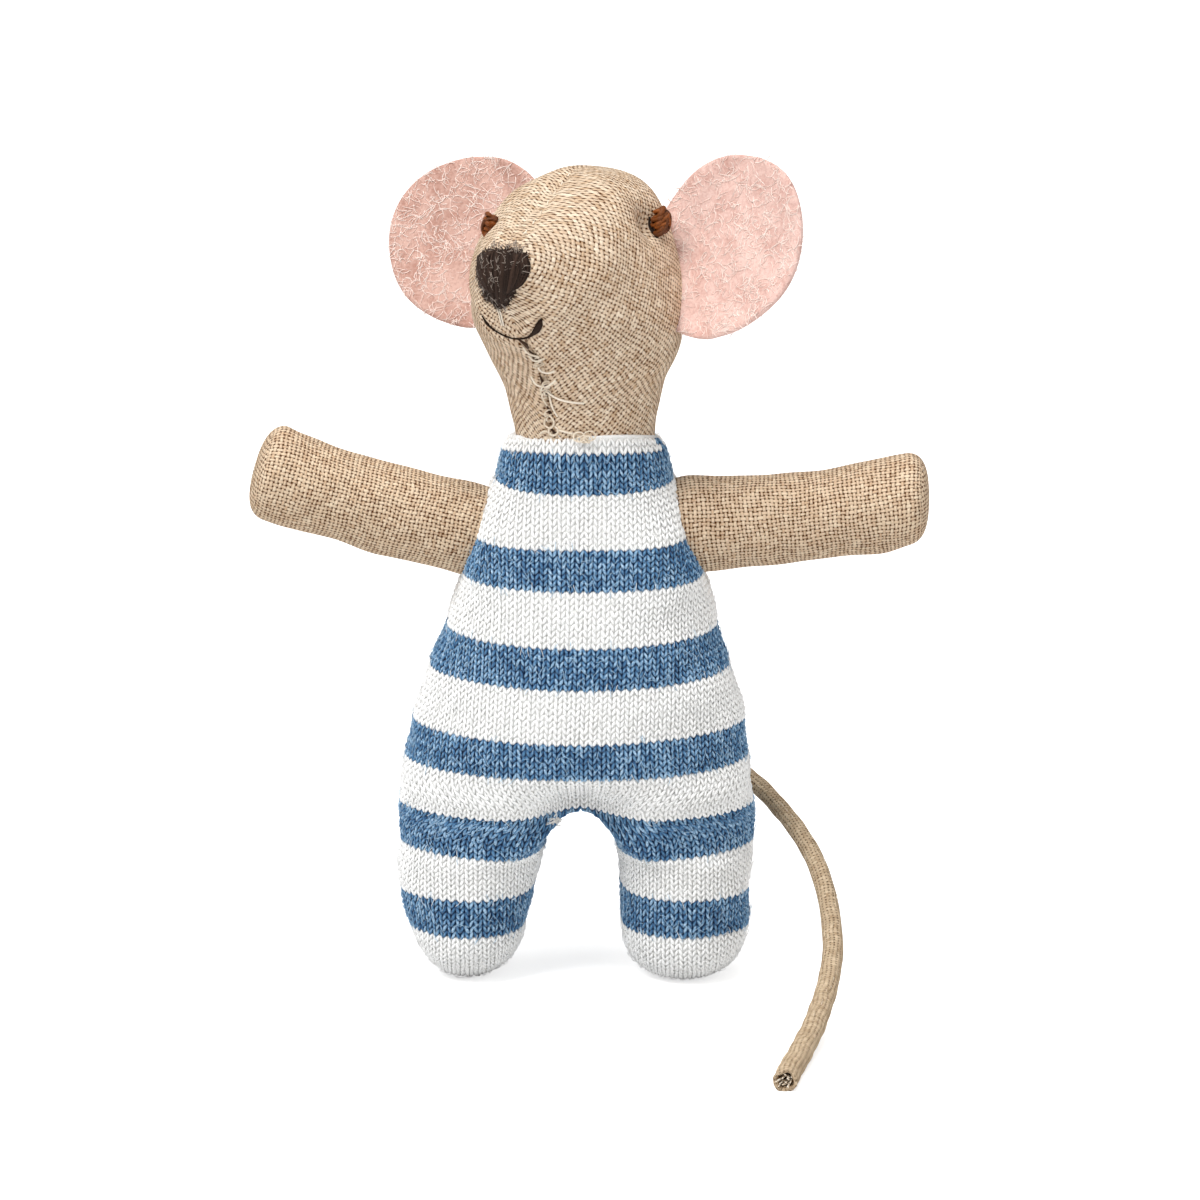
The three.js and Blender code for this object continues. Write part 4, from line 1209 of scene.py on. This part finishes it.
def make_face_threads():
    mouth, facing = seen_line(head_skin, MOUTH, 60)
    stitch, normals = front_line(LIP_STITCH, 10)
    strands = [
        (mouth + facing * 0.02, np.interp(np.linspace(0, 1, 60), MOUTH_AT, MOUTH_THICK)),
        (stitch + normals * 0.02, np.full(10, 0.09)),
    ]
    thread = strands_piece("mouth_stitches", strands, DARK_THREAD, 7)
    on_head(thread)
    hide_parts("mouth_thread")
    pale = []
    for shift in (-0.16, 0.16):
        side = np.cross(normals, [0.2, 0.0, 1.0])
        pale.append((stitch + side * shift + normals * 0.14, np.full(10, 0.09)))
    # The chin's seam: dark strands where it gapes, painted shadow, and pale thread across it
    dark = []
    for pixels in CHIN_GAPS:
        gap, _ = seen_line(head_skin, pixels, 14)
        dark.append((gap, 0.05 + 0.16 * np.sin(np.linspace(0, math.pi, 14))))
    furrow = strands_piece("chin_furrow_shadow", dark, FURROW_SHADOW, 6)
    on_head(furrow)
    for pixels in CHIN_THREADS:
        line, out = front_line(pixels, 22)
        raised = 0.12 + 0.14 * np.sin(np.linspace(0, math.pi, 22))[:, None]
        pale.append((line + out * raised, np.full(22, 0.115)))
    chin, out = seen_line(head_skin, CHIN_SEAM, 80)
    above, _ = seen_line(head_plain, CHIN_SEAM, 80)
    ahead = unit(np.gradient(chin, axis=0))
    across = unit(np.cross(out, ahead))
    for _ in range(12):
        at = int(chance.uniform(6, 78))
        way = chance.choice([-1, 1])
        turn = np.linspace(chance.uniform(-0.8, 0.2), math.pi * chance.uniform(0.8, 1.7), 16)
        tall = chance.uniform(0.3, 0.7) * LOOP_SIZE
        wide = chance.uniform(0.5, 1.0) * LOOP_SIZE
        loop = (above[at][None] + across[at][None] * way * (wide * np.sin(turn))[:, None]
                + ahead[at][None] * (np.cos(turn) * tall)[:, None]
                + out[at][None] * (0.16 + 0.26 * np.sin(turn) ** 2)[:, None])
        pale.append((loop, np.full(16, chance.uniform(0.05, 0.085))))
    # Short bars along the seam above the nose, and a speck of thread beside it
    top, up = seen_line(head_skin, TOP_SEAM, 60)
    run = unit(np.gradient(top, axis=0))
    span = np.linspace(-0.34, 0.34, 6)[:, None]
    for at in range(6, 60, 8):
        lean = unit(np.cross(up[at], run[at])) * 0.12
        bar = top[at][None] + run[at][None] * span + up[at][None] * (0.03 - 0.25 * span ** 2)
        pale.append((bar + lean[None] * span, np.full(6, 0.07)))
    speck, speck_out = seen_on(head_skin, *SPECK)
    line = smooth_path([speck, speck + speck_out * 0.3 + [0.1, 0, 0.1], speck + [0.35, 0, 0.2]], 6)
    pale.append((line, np.full(6, 0.11)))
    loops = strands_piece("chin_stitches", pale, PALE_THREAD, 6)
    on_head(loops)
    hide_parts("chin_seam_thread")


make_face_threads()


# Ears: discs of felt, a little cupped, with loose wool fibres

EAR_LEAN = math.radians(24.3)
EAR_TOE_IN = math.radians(7.7)
EAR_BACK = 4.2
EAR_HALF = 0.42


def ear_frame(side, reach, height):
    """Where an ear's disc has its middle, and the way that it faces."""
    normal = np.array([0.0, -math.cos(EAR_LEAN), math.sin(EAR_LEAN)])
    turn = -side * EAR_TOE_IN
    normal = np.array([normal[0] * math.cos(turn) - normal[1] * math.sin(turn),
                       normal[0] * math.sin(turn) + normal[1] * math.cos(turn), normal[2]])
    roll_c, roll_s = math.cos(HEAD_ROLL), math.sin(HEAD_ROLL)
    normal = np.array([normal[0] * roll_c - normal[2] * roll_s, normal[1],
                       normal[0] * roll_s + normal[2] * roll_c])
    x, z = side * reach, height - ROLL_PIVOT
    middle = np.array([x * roll_c - z * roll_s, EAR_BACK, ROLL_PIVOT + x * roll_s + z * roll_c])
    c, s = math.cos(-HEAD_TURN), math.sin(-HEAD_TURN)
    around = np.array([[c, -s, 0], [s, c, 0], [0, 0, 1]])
    return around @ middle + HEAD_HUB, around @ normal


def make_ear(name, body, node, side, reach, height, finish, wide, tall, slant):
    middle, normal = ear_frame(side, reach, height)
    # In the plane of the disc: out to the right, and up
    right = unit(np.cross([0.0, 0.0, 1.0], normal)) * -1.0
    if right[0] < 0:
        right = -right
    up = unit(np.cross(normal, right))
    if up[2] < 0:
        up = -up
    c, s = math.cos(slant), math.sin(slant)

    def sheet_height(px, py):
        """How far the felt stands off its plane: it is cupped, with a crease near the head."""
        far = (px ** 2 + py ** 2) / 90.0
        inward = -side * px
        cup = 0.75 * far + 0.16 * np.sin(0.55 * px + 0.9) * np.cos(0.5 * py)
        crease = -0.4 * hill(inward - 4.6 + 0.05 * py ** 2, 1.3)
        return cup + crease

    def above(px, py, lift):
        """A place over the plane of the disc, or many."""
        px, py, lift = (np.asarray(value)[..., None] for value in (px, py, lift))
        return middle + right * px + up * py + normal * lift

    def rim_at(angle):
        """A place on the rim, without its small lobes."""
        x, y = wide * math.cos(angle), tall * math.sin(angle)
        return np.array([x * c - y * s, x * s + y * c])

    rings, sides = 26, 120
    turn = turns(sides)
    share = np.sin(np.linspace(0, math.pi / 2, rings))
    lobe = 1 + 0.012 * np.sin(3 * turn + side) + 0.01 * np.sin(5 * turn + 1)
    a = wide * np.cos(turn) * lobe
    b = tall * np.sin(turn) * lobe
    flat_x, flat_y = a * c - b * s, a * s + b * c
    # Rings from the middle of the front to the rim, and back to the middle behind
    grid = []
    for half, order in ((EAR_HALF, range(1, rings)), (-EAR_HALF, range(rings - 1, 0, -1))):
        for k in order:
            px, py = flat_x * share[k], flat_y * share[k]
            edge = math.sqrt(max(1 - (max(share[k] - 0.955, 0) / 0.05) ** 2, 0.0))
            grid.append(above(px, py, sheet_height(px, py) + half * edge))
    grid = np.array(grid)
    ends = [above(0.0, 0.0, sheet_height(0.0, 0.0) + half) for half in (EAR_HALF, -EAR_HALF)]
    points = np.vstack([grid.reshape(-1, 3), *ends])
    quads, caps, _ = turned_out(points, grid_faces(len(grid), sides), end_caps(len(grid), sides))
    disc = make_piece(name, points, [(quads, 0, None), (caps, 0, None)], [finish])
    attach(disc, body)
    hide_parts(node)
    # Fibres that lie on both faces, and short ones that stand out from the rim
    hairs = []
    for k in range(1100):
        angle = chance.uniform(0, FULL_TURN)
        px, py = rim_at(angle) * (math.sqrt(chance.random()) * 0.99)
        face = 1 if k % 4 else -1
        heading = chance.uniform(0, FULL_TURN)
        length = chance.uniform(0.5, 1.9)
        bend = chance.uniform(-1.4, 1.4)
        step = np.linspace(0, 1, 6)
        turned = heading + bend * step
        qx = px + np.cos(turned) * length * (step - 0.5)
        qy = py + np.sin(turned) * length * (step - 0.5)
        lift = sheet_height(qx, qy) + face * (EAR_HALF + 0.04 * np.sin(math.pi * step))
        hairs.append((above(qx, qy, lift), np.linspace(0.055, 0.03, 6)))
    for k in range(120):
        px, py = rim_at(chance.uniform(0, FULL_TURN))
        outward = unit(np.array([px, py]))
        bend = chance.uniform(-0.5, 0.5)
        reach_out = chance.uniform(0.1, 0.4)
        step = np.linspace(-0.3, 1, 5)
        qx = px * 0.985 + (outward[0] - outward[1] * bend * step) * reach_out * step
        qy = py * 0.985 + (outward[1] + outward[0] * bend * step) * reach_out * step
        hairs.append((above(qx, qy, sheet_height(qx, qy) + 0.2 * math.sin(k)), np.linspace(0.028, 0.014, 5)))
    fuzz = strands_piece(name + "_fibres", hairs, FELT_FIBRE, 3)
    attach(fuzz, body)


make_ear("ear_left_disc", "ear_left", "ear_left", -1, 15.15, 18.9, LEFT_FELT_SHADED, 9.4, 9.25, 0.0)
make_ear("ear_right_disc", "ear_right", "ear_right", 1, 15.2, 20.1, RIGHT_FELT, 9.2, 10.3, -0.48)


# Arms: blunt tubes of linen

SHOULDER_SIDE = 13.2
SHOULDER_HIGH = 49.3
ARM_ROOT = 4.6
ARM_END = 2.6
ARM_RADII = (4.72, 5.12)
ARM_POWER = 2.8
ARM_THREAD = 0.46
ARM_THREADS_ROUND = 70.0


def make_arm(name, body, nodes, side, length, rise, bow, pinch, lean, tuck, shoulder, sag):
    """A tube with a round root in the body and a blunt end, whose corners are pinched and tucked."""
    rings, sides = 110, 96
    tube, end = 84, 26
    rise = math.radians(rise)
    along = np.concatenate([np.linspace(-ARM_ROOT, length - ARM_END, tube), np.full(end, length - ARM_END)])
    dome = np.concatenate([np.zeros(tube), np.linspace(0.04, 1.0, end)]) * math.pi / 2
    x = along + np.sin(dome) ** (2 / ARM_POWER) * ARM_END
    narrow = np.cos(dome) ** (2 / ARM_POWER)
    turn = turns(sides)
    radius = ARM_RADII[0] + (ARM_RADII[1] - ARM_RADII[0]) * eased(6, length, x)
    radius = radius - 0.14 * hill(x - length * 0.55, 4)
    root = (1 - np.clip(-x / ARM_ROOT, 0.0, 0.9995) ** 4) ** 0.25
    radius = radius * np.maximum(narrow, 0.004) * root
    px = np.repeat(x[:, None], sides, axis=1)
    py = radius[:, None] * np.cos(turn)[None]
    pz = radius[:, None] * np.sin(turn)[None] + (bow * np.maximum(x / length, 0) ** 2)[:, None]
    over = (0.5 + 0.5 * np.sin(turn)) ** 1.5
    under = (0.5 - 0.5 * np.sin(turn)) ** 1.5
    pz = pz + shoulder * (hill(x + 2.5, 7.5) * root)[:, None] * over[None]
    pz = pz - sag * hill(x - 7.5, 4.0)[:, None] * under[None]
    corner = hill(px - length + 2.0, 1.3) * hill(turn - math.pi / 2, 0.45)[None]
    low = hill(px - length + 1.6, 2.4) * hill(turn - 1.5 * math.pi, 0.8)[None]
    px = px + lean * pz / 4.7 * eased(length - 7, length, px)
    pz = pz + pinch * corner + tuck * low
    puff = 0.05 * np.sin(0.6 * px + 2 * turn[None]) + 0.03 * np.sin(1.1 * px - 3 * turn[None] + side)
    py = py + puff * np.cos(turn)[None]
    pz = pz + puff * np.sin(turn)[None]
    wx = side * (px * math.cos(rise)) - side * pz * math.sin(rise)
    wz = px * math.sin(rise) + pz * math.cos(rise)
    hub = np.array([BODY_SIDE + side * SHOULDER_SIDE, BODY_BACK, SHOULDER_HIGH])
    grid = np.stack([wx, py, wz], axis=-1) + hub
    # On the tube the threads run along and round, and on the end the cloth is flat and they cross it straight
    run = run_lengths(np.stack([x, radius], axis=-1))
    lengths, rounds = tube_map(run, turn / FULL_TURN, 1.0 / sides)
    tube_uv = np.stack([lengths / ARM_THREAD + 50, rounds * ARM_THREADS_ROUND + 50], axis=-1)
    local = np.stack([radius[:, None] * np.cos(turn)[None], radius[:, None] * np.sin(turn)[None]], axis=-1)
    end_uv = corner_values(local / 0.45 + 300)
    on_end = (np.arange(rings - 1) > 92)[:, None, None, None]
    uv = np.where(on_end, end_uv, tube_uv).reshape(-1, 4, 2)
    points = np.vstack([grid.reshape(-1, 3), grid[0].mean(axis=0), grid[-1].mean(axis=0)])
    quads, caps, uv = turned_out(points, grid_faces(rings, sides), end_caps(rings, sides), uv)
    arm = make_piece(name, points, [(quads, 0, uv), (caps, 0, None)], [ARM_LINEN])
    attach(arm, body)
    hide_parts(*nodes)


make_arm("arm_left", "arm_left", ("arm_cover_left", "arm_filling_left"), -1, length=22.5, rise=15.6, bow=0.3,
         pinch=0.4, lean=0.0, tuck=0.35, shoulder=0.35, sag=0.35)
make_arm("arm_right", "arm_right", ("arm_cover_right", "arm_filling_right"), 1, length=23.85, rise=5.3,
         bow=0.95, pinch=0.1, lean=0.4, tuck=0.6, shoulder=0.95, sag=0.0)


# Frayed loops on the collar's front edge and a tuft in the crotch


def make_frays():
    strands = []
    base, _ = seen_on(head_skin, 589, 437)
    base = base + np.array([0.0, -0.85, 0.0])
    for _ in range(7):
        offset = [chance.uniform(-1.1, 0.8), chance.uniform(-0.2, 0.15), chance.uniform(-0.4, 0.3)]
        centre = base + np.array(offset)
        size = chance.uniform(0.3, 0.65)
        turn = np.linspace(0, FULL_TURN * chance.uniform(0.7, 1.1), 16) + chance.uniform(0, 6)
        tilt = chance.uniform(-0.5, 0.5)
        loop = np.column_stack([np.cos(turn) * size, tilt * np.sin(turn) * size, np.sin(turn) * size * 0.8])
        strands.append((centre + loop, np.full(16, chance.uniform(0.06, 0.1))))
    loops = strands_piece("neck_frays", strands, PALE_THREAD, 6)
    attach(loops, "torso")
    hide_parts("neck_knot")
    strands = []
    base = np.array([-3.6, BODY_BACK - 7.4, 18.9])
    for _ in range(20):
        start = base + chance.normal(0, 0.25, 3)
        reach = [chance.uniform(-1.0, 0.7), chance.uniform(-0.5, 0.1), chance.uniform(-0.6, 0.3)]
        end = start + np.array(reach)
        middle = (start + end) / 2 + chance.normal(0, 0.18, 3)
        strands.append(hair([start, middle, end], 7, 0.075, 0.03))
    tuft = strands_piece("crotch_tuft", strands, WHITE_FLUFF, 5)
    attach(tuft, "torso")
    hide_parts("crotch_knot")


make_frays()


# Floor, lights and world

FLOOR_GLOW = 0.62
WORLD_LIGHT = 0.38
LIGHT_AIM = Vector((0, 0, 0.045))
# Each light's name, place in metres, size in metres and power
LIGHTS = [
    ("key_light", (-0.38, -0.42, 0.75), 0.45, 5.9),
    ("fill_light", (0.55, -0.5, 0.35), 0.7, 1.1),
    ("top_light", (0.0, 0.0, 0.9), 0.6, 4.2),
]


def make_floor():
    bpy.ops.object.select_all(action="DESELECT")
    bpy.ops.mesh.primitive_plane_add(size=4.0, location=(0, 0, 0))
    floor = bpy.context.active_object
    floor.name = "floor"
    f = Finish("pale_floor", 0.9, specular=0.5)
    f.put(f.shader.inputs["Base Color"], rgb(236, 236, 236))
    # The glow shows only to camera, glossy and transmission rays, so it adds no soft light
    rays = f.add("LightPath").outputs
    seen = f.sum("MAXIMUM", rays["Is Camera Ray"], rays["Is Glossy Ray"])
    seen = f.sum("MAXIMUM", seen, rays["Is Transmission Ray"])
    lit = f.shader.outputs[0]
    glow = f.add("Emission", (1, 1, 1, 1), FLOOR_GLOW).outputs[0]
    shown = f.add("MixShader", seen, lit, f.add("AddShader", lit, glow).outputs[0]).outputs[0]
    f.tree.links.new(shown, f.tree.nodes["Material Output"].inputs["Surface"])
    floor.data.materials.append(f.material)


def make_world():
    """White where the camera sees it, and a dimmer light on the toy."""
    world = bpy.data.worlds.new("studio")
    bpy.context.scene.world = world
    world.use_nodes = True
    tree = world.node_tree
    dim = tree.nodes["Background"]
    white = tree.nodes.new("ShaderNodeBackground")
    for background, strength in ((dim, WORLD_LIGHT), (white, 1.0)):
        background.inputs["Color"].default_value = (1, 1, 1, 1)
        background.inputs["Strength"].default_value = strength
    rays = tree.nodes.new("ShaderNodeLightPath")
    mix = tree.nodes.new("ShaderNodeMixShader")
    for socket, source in zip(mix.inputs, (rays.outputs["Is Camera Ray"], dim.outputs[0], white.outputs[0])):
        tree.links.new(source, socket)
    tree.links.new(mix.outputs[0], tree.nodes["World Output"].inputs["Surface"])


def make_lights():
    for name, place, size, power in LIGHTS:
        lamp = bpy.data.lights.new(name, "AREA")
        lamp.shape = "DISK"
        lamp.size = size
        lamp.energy = power
        holder = bpy.data.objects.new(name, lamp)
        holder.location = place
        aim = LIGHT_AIM - Vector(place)
        holder.rotation_euler = aim.to_track_quat("-Z", "Y").to_euler()
        bpy.context.scene.collection.objects.link(holder)


make_floor()
make_world()
make_lights()

bpy.context.scene.view_settings.view_transform = "Standard"
